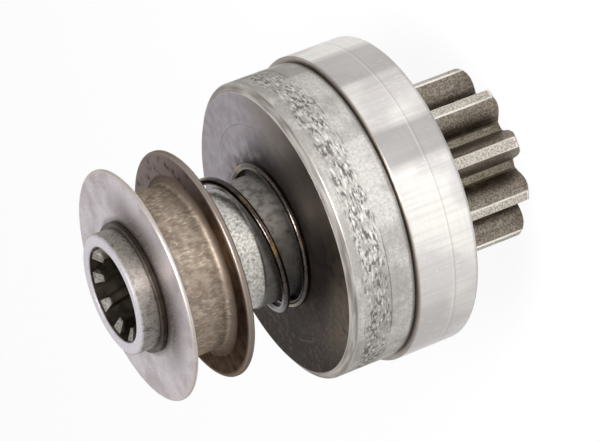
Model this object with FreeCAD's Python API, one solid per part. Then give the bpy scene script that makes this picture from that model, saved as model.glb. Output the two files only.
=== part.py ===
import FreeCAD, Part
import math
import os

# Starter drive: a splined sleeve turns a roller clutch, and the clutch turns a small pinion.
# The part stands on the pinion's end face. The origin is the centre of that face and +Z runs
# along the axis towards the open end of the sleeve. All lengths are millimetres.

# Pinion teeth
gear_module = 3.0
tooth_count = 10
pressure_angle = 20.0
profile_shift = 0.48
tip_height_factor = 1.283
root_depth_factor = 0.733
root_land_angle = 7.0
flank_start_factor = 1.005
flank_steps = 5
tooth_phase = 17.2
tooth_length = 20.4
tooth_end_cut_depth = 1.7
tooth_end_cut_reach = 3.0
tooth_end_shoulder_depth = 0.5
tooth_end_shoulder_reach = 1.1

# Pinion hub and its bearing bushes
shaft_radius = 7.0
bush_wall = 1.5
bush_length = 12.0
bush_inset = 0.6
bush_chamfer = 0.4
bore_chamfer = 0.5
grease_pocket_depth = 0.5
hub_race_radius = 16.5
hub_neck_relief = 0.6
hub_groove_depth = 2.3
hub_rear_gap = 0.4
hub_edge_chamfer = 0.6

# Casing, a drawn cup rolled over the outer race
casing_fit = 0.05
casing_side_wall = 1.05
casing_front_wall = 1.1
casing_front_gap = 0.8
casing_length = 14.0
casing_front_rounding = 1.2
casing_hole_clearance = 0.4
rolled_lip_depth = 0.75
rolled_lip_thickness = 0.9
rolled_lip_chamfer = 0.4

# Rings and washers between the casing's front wall and the outer race
half_ring_thickness = 2.7
half_ring_overhang = 4.0
half_ring_split = 0.3
half_ring_clearance = 0.3
thrust_washer_floor = 1.0
roller_washer_thickness = 0.85
washer_bore_clearance = 0.2
axial_play = 0.1

# Outer race with its roller pockets
race_wall = 6.35
race_length = 22.45
race_cavity_depth = 14.55
race_bore_clearance = 0.7
race_rear_bevel_width = 1.65
race_rear_bevel_height = 1.1
race_rear_bevel_bulge = 0.18
race_front_chamfer = 0.4
lip_groove_gap = 0.4

# Rollers, plungers and their springs
roller_count = 4
roller_phase = 25.0
roller_radius = 4.25
roller_length = 11.0
roller_chamfer = 0.4
roller_end_play = 0.3
roller_clearance = 0.05
pocket_wedge_angle = 6.0
pocket_front_room = 1.1
pocket_rear_margin = 1.15
pocket_corner_radius = 0.8
plunger_radius = 2.45
plunger_length = 7.0
plunger_nose_thickness = 1.5
plunger_wall = 0.65
plunger_gap = 0.1
plunger_clearance = 0.05
plunger_travel = 1.2
plunger_height = 4.25
stop_head_length = 3.4
stop_stem_radius = 0.8
stop_stem_length = 4.0
stop_edge_margin = 0.3
plunger_spring_wire = 0.4
plunger_spring_turns = 6.0
plunger_spring_clearance = 0.12
plunger_spring_steps = 10
plunger_spring_sides = 6

# Splined sleeve
sleeve_projection = 36.5
sleeve_running_radius = 12.57
sleeve_step_height = 0.28
sleeve_seat_projection = 9.1
sleeve_step_chamfer = 0.3
sleeve_wall = 2.63
sleeve_flange_clearance = 1.2
sleeve_flange_thickness = 1.6
sleeve_end_chamfer = 0.45
sleeve_bore_chamfer = 0.35
spline_count = 10
spline_depth = 2.34
spline_root_half_angle = 8.5
spline_tip_half_angle = 5.2
spline_helix_angle = 11.5
spline_phase = 26.3
spline_end_inset = 0.7
spline_end_cut_depth = 1.3
spline_sections = 7

# Spool that the shift fork slides along the sleeve
ring_groove_to_end = 4.0
snap_ring_thickness = 1.1
snap_ring_stand = 1.03
snap_ring_groove_depth = 0.85
snap_ring_gap_angle = 16.0
snap_ring_gap_phase = 66.0
snap_ring_chamfer = 0.15
snap_ring_fit = 0.05
spool_bore_clearance = 0.09
spool_disc_overhang = 6.9
spool_disc_thickness = 1.1
spool_disc_chamfer = 0.35
spool_disc_countersink = 0.8
spool_disc_countersink_depth = 0.4
spool_cup_height = 12.8
spool_cup_sheet = 1.5
spool_flange_overhang = 6.5
spool_flange_chamfer = 0.45
spool_cup_fillet = 1.5
spool_cup_top_rounding = 1.0
spool_lip_clearance = 0.3
spool_spring_clearance = 0.4

# Buffer spring between the outer race and the spool
buffer_wire = 1.6
buffer_sleeve_clearance = 0.95
buffer_pitch = 12.5
buffer_closed_angle = 300.0
buffer_liftoff_phase = 88.0
buffer_steps = 24
buffer_sides = 10

# Clearances of pressed and centred pieces, and of coils from their seats
press_clearance = 0.02
coil_seat_gap = 0.05

# Heights along the axis, from the pinion's end face
casing_bottom = tooth_length + casing_front_gap
casing_inside = casing_bottom + casing_front_wall
casing_top = casing_bottom + casing_length
half_ring_bottom = casing_inside + axial_play
half_ring_top = half_ring_bottom + half_ring_thickness
thrust_washer_seat = half_ring_top + axial_play
thrust_washer_top = thrust_washer_seat + thrust_washer_floor
race_bottom = thrust_washer_top + roller_washer_thickness
race_top = race_bottom + race_length
cavity_top = race_bottom + race_cavity_depth
sleeve_bottom = cavity_top - sleeve_flange_thickness
hub_top = sleeve_bottom - hub_rear_gap
roller_bottom = race_bottom + roller_end_play
pocket_top = roller_bottom + roller_length + roller_end_play
plunger_axis_height = race_bottom + plunger_height
sleeve_step = race_top + sleeve_seat_projection
sleeve_top = race_top + sleeve_projection
snap_ring_top = sleeve_top - ring_groove_to_end
snap_ring_bottom = snap_ring_top - snap_ring_thickness
disc_top = snap_ring_bottom - snap_ring_fit
disc_bottom = disc_top - spool_disc_thickness
cup_bottom = disc_bottom - spool_cup_height
lip_bottom = disc_bottom - spool_cup_sheet

# Radii that follow from the fits
pitch_radius = gear_module * tooth_count / 2
base_radius = pitch_radius * math.cos(math.radians(pressure_angle))
tip_radius = pitch_radius + gear_module * tip_height_factor
root_radius = pitch_radius - gear_module * root_depth_factor
bush_radius = shaft_radius + bush_wall
pinion_bore_radius = bush_radius + press_clearance
hub_neck_radius = hub_race_radius - hub_neck_relief
hub_groove_radius = hub_race_radius - hub_groove_depth
half_ring_radius = hub_race_radius + half_ring_overhang
roller_orbit = hub_race_radius + roller_clearance + roller_radius
race_radius = roller_orbit + roller_radius + race_wall
washer_bore_radius = hub_race_radius + washer_bore_clearance
casing_hole_radius = hub_race_radius + casing_hole_clearance
casing_bore_radius = race_radius + casing_fit
casing_radius = casing_bore_radius + casing_side_wall
washer_radius = casing_bore_radius - press_clearance
race_bore_radius = hub_race_radius + race_bore_clearance
lip_groove_radius = casing_bore_radius - rolled_lip_depth - press_clearance
plunger_hole_radius = plunger_radius + plunger_clearance
sleeve_seat_radius = sleeve_running_radius + sleeve_step_height
sleeve_flange_radius = race_bore_radius - sleeve_flange_clearance
spline_major_radius = sleeve_running_radius - sleeve_wall
spline_minor_radius = spline_major_radius - spline_depth
snap_ring_radius = sleeve_running_radius + snap_ring_stand
buffer_coil_radius = sleeve_seat_radius + buffer_sleeve_clearance + buffer_wire / 2
spool_cup_inner_radius = buffer_coil_radius + buffer_wire / 2 + spool_spring_clearance
spool_cup_radius = spool_cup_inner_radius + spool_cup_sheet
spool_flange_radius = spool_cup_radius + spool_flange_overhang
spool_disc_radius = spool_cup_radius + spool_disc_overhang
spool_bore_radius = sleeve_running_radius + spool_bore_clearance
snap_ring_inner_radius = sleeve_running_radius - snap_ring_groove_depth

# Places along the line on which a plunger pushes its roller, measured from the roller's centre
pocket_rear = -(roller_radius + plunger_travel + pocket_rear_margin)
pocket_front = roller_radius + pocket_front_room
plunger_nose = -(roller_radius + plunger_gap)
plunger_spring_seat = plunger_nose - plunger_nose_thickness
stop_edge_offset = roller_orbit + plunger_radius
stop_outer_end = -(math.sqrt(lip_groove_radius ** 2 - stop_edge_offset ** 2) - stop_edge_margin)
stop_inner_end = stop_outer_end + stop_head_length

Z_AXIS = FreeCAD.Vector(0, 0, 1)
ORIGIN = FreeCAD.Vector(0, 0, 0)


def at_angle(radius, degrees, height):
    """Point at a radius, an angle about the axis and a height."""
    angle = math.radians(degrees)
    return FreeCAD.Vector(radius * math.cos(angle), radius * math.sin(angle), height)


def rounded_outline(corners):
    """Closed planar wire through corner points, each with its own rounding radius."""
    starts = []
    ends = []
    middles = []
    for index, (point, rounding) in enumerate(corners):
        if rounding <= 0:
            starts.append(point)
            ends.append(point)
            middles.append(None)
            continue
        before = (corners[index - 1][0] - point).normalize()
        after = (corners[(index + 1) % len(corners)][0] - point).normalize()
        half_turn = before.getAngle(after) / 2
        reach = rounding / math.tan(half_turn)
        bisector = (before + after).normalize()
        centre = point + bisector * (rounding / math.sin(half_turn))
        starts.append(point + before * reach)
        ends.append(point + after * reach)
        middles.append(centre - bisector * rounding)
    edges = []
    for index in range(len(corners)):
        if middles[index] is not None:
            edges.append(Part.Arc(starts[index], middles[index], ends[index]).toShape())
        following = (index + 1) % len(corners)
        edges.append(Part.LineSegment(ends[index], starts[following]).toShape())
    return Part.Wire(edges)


def turned(corners):
    """Solid of revolution from (radius, height, rounding) corners."""
    profile = [(FreeCAD.Vector(radius, 0, height), rounding) for radius, height, rounding in corners]
    return Part.Face(rounded_outline(profile)).revolve(ORIGIN, Z_AXIS, 360)


def ring(inner_radius, outer_radius, bottom, top, chamfer=0.0):
    """Plain ring whose four edges may be chamfered."""
    block = turned([
        (inner_radius, bottom, 0),
        (outer_radius, bottom, 0),
        (outer_radius, top, 0),
        (inner_radius, top, 0),
    ])
    if chamfer <= 0:
        return block
    rims = [edge for edge in block.Edges if edge.Curve.TypeId == "Part::GeomCircle"]
    return block.makeChamfer(chamfer, rims)


def involute(angle):
    """Involute function of an angle in radians."""
    return math.tan(angle) - angle


def tooth_half_angle(radius):
    """Half the angular thickness of a tooth at a radius, in degrees."""
    pressure = math.radians(pressure_angle)
    local = math.acos(min(1.0, base_radius / radius))
    at_pitch = (math.pi / 2 + 2 * profile_shift * math.tan(pressure)) / tooth_count
    return math.degrees(at_pitch + involute(pressure) - involute(local))


def flank_points(centre_angle, side):
    """Points on one flank, from the root land to the tip."""
    pitch_angle = 360 / tooth_count
    root_half_angle = (pitch_angle - root_land_angle) / 2
    points = [at_angle(root_radius, centre_angle + side * root_half_angle, 0)]
    flank_start = base_radius * flank_start_factor
    for step in range(flank_steps + 1):
        radius = flank_start + (tip_radius - flank_start) * step / flank_steps
        points.append(at_angle(radius, centre_angle + side * tooth_half_angle(radius), 0))
    return points


def spline_edge(points):
    """Smooth edge through points."""
    curve = Part.BSplineCurve()
    curve.interpolate(points)
    return curve.toShape()


def gear_outline():
    """Closed outline of the toothed section."""
    edges = []
    pitch_angle = 360 / tooth_count
    for tooth in range(tooth_count):
        centre = tooth_phase + tooth * pitch_angle
        rising = flank_points(centre, -1)
        falling = flank_points(centre, 1)
        next_rising = flank_points(centre + pitch_angle, -1)
        tip_middle = at_angle(tip_radius, centre, 0)
        root_middle = at_angle(root_radius, centre + pitch_angle / 2, 0)
        edges.append(spline_edge(rising))
        edges.append(Part.Arc(rising[-1], tip_middle, falling[-1]).toShape())
        edges.append(spline_edge(falling[::-1]))
        edges.append(Part.Arc(falling[0], root_middle, next_rising[0]).toShape())
    return Part.Wire(edges)


def make_pinion():
    """Pinion with its hub, the inner race of the clutch, bored for two bushes."""
    teeth = Part.Face(gear_outline()).extrude(Z_AXIS * tooth_length)
    envelope = turned([
        (0, 0, 0),
        (tip_radius - tooth_end_cut_reach, 0, 0),
        (tip_radius - tooth_end_shoulder_reach, tooth_end_shoulder_depth, 0),
        (tip_radius, tooth_end_cut_depth, 0),
        (tip_radius + tooth_end_cut_reach, tooth_end_cut_depth, 0),
        (tip_radius + tooth_end_cut_reach, tooth_length, 0),
        (0, tooth_length, 0),
    ])
    half_play = axial_play / 2
    hub = turned([
        (0, tooth_length, 0),
        (hub_neck_radius, tooth_length, 0),
        (hub_neck_radius, half_ring_bottom - half_play, 0),
        (hub_groove_radius, half_ring_bottom - half_play, 0),
        (hub_groove_radius, half_ring_top + half_play, 0),
        (hub_race_radius, half_ring_top + half_play, 0),
        (hub_race_radius, hub_top - hub_edge_chamfer, 0),
        (hub_race_radius - hub_edge_chamfer, hub_top, 0),
        (0, hub_top, 0),
    ])
    pocket_bottom = bush_inset + bush_length
    pocket_top_height = hub_top - bush_inset - bush_length
    bore = turned([
        (0, 0, 0),
        (pinion_bore_radius + bore_chamfer, 0, 0),
        (pinion_bore_radius, bore_chamfer, 0),
        (pinion_bore_radius, pocket_bottom, 0),
        (pinion_bore_radius + grease_pocket_depth, pocket_bottom + grease_pocket_depth, 0),
        (pinion_bore_radius + grease_pocket_depth, pocket_top_height - grease_pocket_depth, 0),
        (pinion_bore_radius, pocket_top_height, 0),
        (pinion_bore_radius, hub_top - bore_chamfer, 0),
        (pinion_bore_radius + bore_chamfer, hub_top, 0),
        (0, hub_top, 0),
    ])
    return teeth.common(envelope).fuse(hub).cut(bore).removeSplitter()


def make_bush(bottom):
    """Bronze bearing bush pressed into the pinion."""
    return ring(shaft_radius, bush_radius, bottom, bottom + bush_length, bush_chamfer)


def make_half_ring(side):
    """One half of the split lock ring in the hub's groove."""
    whole = ring(
        hub_groove_radius + press_clearance,
        half_ring_radius,
        half_ring_bottom,
        half_ring_top,
    )
    reach = half_ring_radius + half_ring_split
    keep = Part.makeBox(
        2 * reach,
        reach,
        half_ring_thickness,
        FreeCAD.Vector(-reach, half_ring_split / 2, half_ring_bottom),
    )
    if side < 0:
        keep = keep.mirror(ORIGIN, FreeCAD.Vector(0, 1, 0))
    return whole.common(keep)


def make_casing():
    """Drawn cup over the washers and the race, its rear edge rolled into the race's groove."""
    return turned([
        (casing_hole_radius, casing_bottom, 0),
        (casing_radius, casing_bottom, casing_front_rounding),
        (casing_radius, casing_top - rolled_lip_chamfer, 0),
        (casing_radius - rolled_lip_chamfer, casing_top, 0),
        (lip_groove_radius + press_clearance, casing_top, 0),
        (lip_groove_radius + press_clearance, casing_top - rolled_lip_thickness, 0),
        (casing_bore_radius, casing_top - rolled_lip_thickness, 0),
        (casing_bore_radius, casing_inside, 0),
        (casing_hole_radius, casing_inside, 0),
    ])


def make_thrust_washer():
    """Stepped washer that holds the half rings and takes their thrust."""
    recess_radius = half_ring_radius + half_ring_clearance
    return turned([
        (recess_radius, casing_inside, 0),
        (washer_radius, casing_inside, 0),
        (washer_radius, thrust_washer_top, 0),
        (washer_bore_radius, thrust_washer_top, 0),
        (washer_bore_radius, thrust_washer_seat, 0),
        (recess_radius, thrust_washer_seat, 0),
    ])


def make_roller_washer():
    """Flat washer that closes the open ends of the roller pockets."""
    return ring(washer_bore_radius, washer_radius, thrust_washer_top, race_bottom)


def roller_placement(index):
    """Placement whose X runs along the push on a roller, Y outwards and Z along the axis."""
    angle = roller_phase + index * 360 / roller_count
    turn = FreeCAD.Rotation(Z_AXIS, angle - 90)
    return FreeCAD.Placement(at_angle(roller_orbit, angle, 0), turn)


def placed(shape, placement):
    """Copy of a shape carried to a placement."""
    moved = shape.copy()
    moved.transformShape(placement.toMatrix())
    return moved


def pocket_cutter():
    """Roller pocket at the origin; it narrows along +X, where the roller wedges."""
    slope = math.tan(math.radians(pocket_wedge_angle))
    ramp = roller_radius + roller_clearance
    inward = -roller_orbit
    corners = [
        (FreeCAD.Vector(pocket_rear, inward, race_bottom), 0),
        (FreeCAD.Vector(pocket_rear, ramp - slope * pocket_rear, race_bottom), pocket_corner_radius),
        (FreeCAD.Vector(pocket_front, ramp - slope * pocket_front, race_bottom), pocket_corner_radius),
        (FreeCAD.Vector(pocket_front, inward, race_bottom), 0),
    ]
    depth = pocket_top - race_bottom
    return Part.Face(rounded_outline(corners)).extrude(Z_AXIS * depth)


def rod(radius, start, end):
    """Round bar along the plunger line between two places on it."""
    base = FreeCAD.Vector(start, 0, plunger_axis_height)
    return Part.makeCylinder(radius, end - start, base, FreeCAD.Vector(1, 0, 0))


def plunger_hole_cutter():
    """Hole for a plunger, drilled from the race's outside into the rear of a pocket."""
    return rod(plunger_hole_radius, -race_radius, pocket_rear + pocket_corner_radius)


def make_outer_race():
    """Outer race: bored cup with wedge pockets, plunger holes and a groove for the casing."""
    groove_top = casing_top + lip_groove_gap
    groove_bottom = casing_top - rolled_lip_thickness
    bevel_foot = FreeCAD.Vector(race_radius, 0, race_top - race_rear_bevel_height)
    bevel_head = FreeCAD.Vector(race_radius - race_rear_bevel_width, 0, race_top)
    outward = FreeCAD.Vector(race_rear_bevel_height, 0, race_rear_bevel_width).normalize()
    bevel_middle = (bevel_foot + bevel_head) * 0.5 + outward * race_rear_bevel_bulge
    corners = [
        bevel_head,
        FreeCAD.Vector(sleeve_seat_radius + press_clearance, 0, race_top),
        FreeCAD.Vector(sleeve_seat_radius + press_clearance, 0, cavity_top),
        FreeCAD.Vector(race_bore_radius, 0, cavity_top),
        FreeCAD.Vector(race_bore_radius, 0, race_bottom),
        FreeCAD.Vector(race_radius - race_front_chamfer, 0, race_bottom),
        FreeCAD.Vector(race_radius, 0, race_bottom + race_front_chamfer),
        FreeCAD.Vector(race_radius, 0, groove_bottom),
        FreeCAD.Vector(lip_groove_radius, 0, groove_bottom),
        FreeCAD.Vector(lip_groove_radius, 0, groove_top),
        FreeCAD.Vector(race_radius, 0, groove_top),
        bevel_foot,
    ]
    edges = [Part.LineSegment(a, b).toShape() for a, b in zip(corners, corners[1:])]
    edges.append(Part.Arc(bevel_foot, bevel_middle, bevel_head).toShape())
    race = Part.Face(Part.Wire(edges)).revolve(ORIGIN, Z_AXIS, 360)
    cutter = pocket_cutter().fuse(plunger_hole_cutter())
    for index in range(roller_count):
        race = race.cut(placed(cutter, roller_placement(index)))
    return race


def make_roller():
    """Hardened roller, standing at the origin of its own frame."""
    return turned([
        (0, roller_bottom, 0),
        (roller_radius - roller_chamfer, roller_bottom, 0),
        (roller_radius, roller_bottom + roller_chamfer, 0),
        (roller_radius, roller_bottom + roller_length - roller_chamfer, 0),
        (roller_radius - roller_chamfer, roller_bottom + roller_length, 0),
        (0, roller_bottom + roller_length, 0),
    ])


def make_plunger():
    """Cup-shaped plunger whose closed nose pushes the roller."""
    body = rod(plunger_radius, plunger_nose - plunger_length, plunger_nose)
    hollow = rod(plunger_radius - plunger_wall, plunger_nose - plunger_length, plunger_spring_seat)
    return body.cut(hollow)


def make_spring_stop():
    """Plug at the outer end of a plunger hole, with a stem that guides the spring."""
    head = rod(plunger_radius, stop_outer_end, stop_inner_end)
    stem = rod(stop_stem_radius, stop_inner_end, stop_inner_end + stop_stem_length)
    return head.fuse(stem).removeSplitter()


def coil_solid(centres, outwards, wire_radius, sides):
    """Coiled wire lofted through facetted sections, with the round wire's area."""
    section_radius = wire_radius * math.sqrt(2 * math.pi / (sides * math.sin(2 * math.pi / sides)))
    last = len(centres) - 1
    sections = []
    for index, (centre, outward) in enumerate(zip(centres, outwards)):
        along = centres[min(index + 1, last)] - centres[max(index - 1, 0)]
        sideways = outward.cross(along).normalize()
        corners = []
        for side in range(sides):
            angle = 2 * math.pi * (side + 0.5) / sides
            offset = outward * math.cos(angle) + sideways * math.sin(angle)
            corners.append(centre + offset * section_radius)
        sections.append(Part.makePolygon(corners + corners[:1]))
    return Part.makeLoft(sections, True, True)


def make_plunger_spring():
    """Small coil spring between a plunger and its stop."""
    wire_radius = plunger_spring_wire / 2
    coil_radius = plunger_radius - plunger_wall - plunger_spring_clearance - wire_radius
    start = stop_inner_end + wire_radius + coil_seat_gap
    end = plunger_spring_seat - wire_radius - coil_seat_gap
    steps = int(round(plunger_spring_turns * plunger_spring_steps))
    centres = []
    outwards = []
    for step in range(steps + 1):
        angle = 2 * math.pi * plunger_spring_turns * step / steps
        outward = FreeCAD.Vector(0, math.cos(angle), math.sin(angle))
        along = start + (end - start) * step / steps
        centres.append(FreeCAD.Vector(along, 0, plunger_axis_height) + outward * coil_radius)
        outwards.append(outward)
    return coil_solid(centres, outwards, wire_radius, plunger_spring_sides)


def spline_tooth():
    """One helical internal tooth, rooted in the sleeve's wall and cut back at the open end."""
    turn_per_height = math.degrees(
        math.tan(math.radians(spline_helix_angle)) * 2 / (spline_major_radius + spline_minor_radius)
    )
    wall_middle = (sleeve_running_radius + spline_major_radius) / 2
    tooth_top = sleeve_top - spline_end_inset
    sections = []
    for index in range(spline_sections):
        height = sleeve_bottom + (tooth_top - sleeve_bottom) * index / (spline_sections - 1)
        turn = spline_phase - (tooth_top - height) * turn_per_height
        corners = [
            at_angle(spline_minor_radius, turn - spline_tip_half_angle, height),
            at_angle(spline_minor_radius, turn + spline_tip_half_angle, height),
            at_angle(wall_middle, turn + spline_root_half_angle, height),
            at_angle(wall_middle, turn - spline_root_half_angle, height),
        ]
        sections.append(Part.makePolygon(corners + corners[:1]))
    return Part.makeLoft(sections, True, False)


def make_splined_sleeve():
    """Guide sleeve with a seat and flange in the race, helical splines and a ring groove."""
    tube = turned([
        (spline_major_radius, sleeve_bottom, 0),
        (sleeve_flange_radius, sleeve_bottom, 0),
        (sleeve_flange_radius, cavity_top, 0),
        (sleeve_seat_radius, cavity_top, 0),
        (sleeve_seat_radius, sleeve_step - sleeve_step_chamfer, 0),
        (sleeve_running_radius, sleeve_step, 0),
        (sleeve_running_radius, snap_ring_bottom, 0),
        (snap_ring_inner_radius - press_clearance, snap_ring_bottom, 0),
        (snap_ring_inner_radius - press_clearance, snap_ring_top + snap_ring_fit, 0),
        (sleeve_running_radius, snap_ring_top + snap_ring_fit, 0),
        (sleeve_running_radius, sleeve_top - sleeve_end_chamfer, 0),
        (sleeve_running_radius - sleeve_end_chamfer, sleeve_top, 0),
        (spline_major_radius + sleeve_bore_chamfer, sleeve_top, 0),
        (spline_major_radius, sleeve_top - sleeve_bore_chamfer, 0),
    ])
    lead_in = turned([
        (0, sleeve_top - spline_end_inset - spline_end_cut_depth, 0),
        (spline_minor_radius, sleeve_top - spline_end_inset - spline_end_cut_depth, 0),
        (spline_major_radius, sleeve_top - spline_end_inset, 0),
        (spline_major_radius, sleeve_top, 0),
        (0, sleeve_top, 0),
    ])
    tooth = spline_tooth().cut(lead_in)
    teeth = []
    for index in range(spline_count):
        teeth.append(tooth.rotated(ORIGIN, Z_AXIS, index * 360 / spline_count))
    return tube.fuse(teeth)


def make_snap_ring():
    """Open spring ring in the sleeve's groove."""
    whole = ring(
        snap_ring_inner_radius,
        snap_ring_radius,
        snap_ring_bottom,
        snap_ring_top,
        snap_ring_chamfer,
    )
    reach = 2 * snap_ring_radius
    half_gap = snap_ring_gap_angle / 2
    opening = Part.makePolygon([
        FreeCAD.Vector(0, 0, snap_ring_bottom),
        at_angle(reach, snap_ring_gap_phase - half_gap, snap_ring_bottom),
        at_angle(reach, snap_ring_gap_phase + half_gap, snap_ring_bottom),
        FreeCAD.Vector(0, 0, snap_ring_bottom),
    ])
    return whole.cut(Part.Face(opening).extrude(Z_AXIS * snap_ring_thickness))


def make_spool_disc():
    """Front flange of the spool, a flat disc against the snap ring."""
    return turned([
        (spool_bore_radius, disc_bottom, 0),
        (spool_disc_radius - spool_disc_chamfer, disc_bottom, 0),
        (spool_disc_radius, disc_bottom + spool_disc_chamfer, 0),
        (spool_disc_radius, disc_top - spool_disc_chamfer, 0),
        (spool_disc_radius - spool_disc_chamfer, disc_top, 0),
        (spool_bore_radius + spool_disc_countersink, disc_top, 0),
        (spool_bore_radius, disc_top - spool_disc_countersink_depth, 0),
    ])


def make_spool_cup():
    """Pressed cup of the spool: a drum with an inward lip above and a flange below."""
    flange_top = cup_bottom + spool_cup_sheet
    return turned([
        (spool_cup_inner_radius, cup_bottom, spool_cup_fillet + spool_cup_sheet),
        (spool_flange_radius - spool_flange_chamfer, cup_bottom, 0),
        (spool_flange_radius, cup_bottom + spool_flange_chamfer, 0),
        (spool_flange_radius, flange_top - spool_flange_chamfer, 0),
        (spool_flange_radius - spool_flange_chamfer, flange_top, 0),
        (spool_cup_radius, flange_top, spool_cup_fillet),
        (spool_cup_radius, disc_bottom, spool_cup_top_rounding),
        (spool_bore_radius + spool_lip_clearance, disc_bottom, 0),
        (spool_bore_radius + spool_lip_clearance, lip_bottom, 0),
        (spool_cup_inner_radius, lip_bottom, 0),
    ])


def make_buffer_spring():
    """Compression spring with a closed turn at each end and open turns between."""
    wire_radius = buffer_wire / 2
    low = race_top + wire_radius + coil_seat_gap
    high = lip_bottom - wire_radius - coil_seat_gap
    open_angle = 360 * (high - low) / buffer_pitch
    total_angle = open_angle + 2 * buffer_closed_angle
    steps = int(round(total_angle / 360 * buffer_steps))
    centres = []
    outwards = []
    for step in range(steps + 1):
        travelled = total_angle * step / steps - buffer_closed_angle
        rise = min(max(travelled / open_angle, 0), 1)
        turn = buffer_liftoff_phase + travelled
        centres.append(at_angle(buffer_coil_radius, turn, low + (high - low) * rise))
        outwards.append(at_angle(1, turn, 0))
    return coil_solid(centres, outwards, wire_radius, buffer_sides)


def build_nodes():
    """Every piece of the drive by its node name."""
    nodes = {
        "pinion": make_pinion(),
        "pinion_front_bush": make_bush(bush_inset),
        "pinion_rear_bush": make_bush(hub_top - bush_inset - bush_length),
        "lock_half_ring_1": make_half_ring(1),
        "lock_half_ring_2": make_half_ring(-1),
        "casing": make_casing(),
        "thrust_washer": make_thrust_washer(),
        "roller_washer": make_roller_washer(),
        "outer_race": make_outer_race(),
        "splined_sleeve": make_splined_sleeve(),
        "snap_ring": make_snap_ring(),
        "spool_disc": make_spool_disc(),
        "spool_cup": make_spool_cup(),
        "buffer_spring": make_buffer_spring(),
    }
    clutch_pieces = {
        "roller": make_roller(),
        "plunger": make_plunger(),
        "plunger_spring": make_plunger_spring(),
        "spring_stop": make_spring_stop(),
    }
    for index in range(roller_count):
        placement = roller_placement(index)
        for name, shape in clutch_pieces.items():
            nodes[f"{name}_{index + 1}"] = placed(shape, placement)
    return nodes


def export_nodes(nodes):
    """Write one STEP file for each piece."""
    os.makedirs("parts", exist_ok=True)
    for name, shape in nodes.items():
        shape.exportStep(f"parts/{name}.step")


export_nodes(build_nodes())
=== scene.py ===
import logging
import math
from dataclasses import dataclass, field
from enum import Enum
from typing import Any, Callable, Sequence

import bpy
import numpy as np
from mathutils import Matrix, Vector

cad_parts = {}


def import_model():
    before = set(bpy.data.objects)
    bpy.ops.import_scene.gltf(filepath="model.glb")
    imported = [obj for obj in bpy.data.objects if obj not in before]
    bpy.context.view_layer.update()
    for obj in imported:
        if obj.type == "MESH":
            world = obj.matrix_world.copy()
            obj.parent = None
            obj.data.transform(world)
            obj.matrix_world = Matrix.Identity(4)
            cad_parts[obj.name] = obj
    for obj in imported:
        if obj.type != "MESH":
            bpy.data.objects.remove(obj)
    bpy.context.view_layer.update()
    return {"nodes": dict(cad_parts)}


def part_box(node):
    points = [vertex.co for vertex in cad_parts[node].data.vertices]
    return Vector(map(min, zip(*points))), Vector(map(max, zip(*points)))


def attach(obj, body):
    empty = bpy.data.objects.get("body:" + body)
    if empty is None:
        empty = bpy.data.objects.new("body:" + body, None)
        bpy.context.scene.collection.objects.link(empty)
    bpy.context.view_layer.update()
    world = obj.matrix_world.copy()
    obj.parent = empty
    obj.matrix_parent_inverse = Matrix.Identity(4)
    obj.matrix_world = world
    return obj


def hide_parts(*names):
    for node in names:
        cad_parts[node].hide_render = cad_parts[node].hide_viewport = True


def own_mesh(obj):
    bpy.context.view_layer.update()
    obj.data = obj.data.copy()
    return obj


# Starter drive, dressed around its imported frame. Shapes are worked out in millimetres on the
# drive's own axis and turned into metres when a mesh is made.

MM = 0.001
FULL_TURN = 2 * math.pi
COARSE = 2.0
FINE = 0.4
CREASE = 32.0
TOOTH_CREASE = 40.0

log = logging.getLogger("starter_drive")

Colour = tuple[float, float, float, float]
Point = tuple[float, float]
ReliefField = Callable[[np.ndarray, np.ndarray, np.ndarray], np.ndarray]

WHITE: Colour = (1.0, 1.0, 1.0, 1.0)


def tone(red: int, green: int, blue: int) -> Colour:
    """Linear colour of a tone as it is seen.

    Args:
        red: red share, 0 to 255.
        green: green share, 0 to 255.
        blue: blue share, 0 to 255.

    Returns:
        Red, green, blue and full alpha, linear.
    """
    shares = (red / 255, green / 255, blue / 255)
    linear = [c / 12.92 if c <= 0.04045 else ((c + 0.055) / 1.055) ** 2.4 for c in shares]
    return (linear[0], linear[1], linear[2], 1.0)


# Shader expressions


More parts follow.
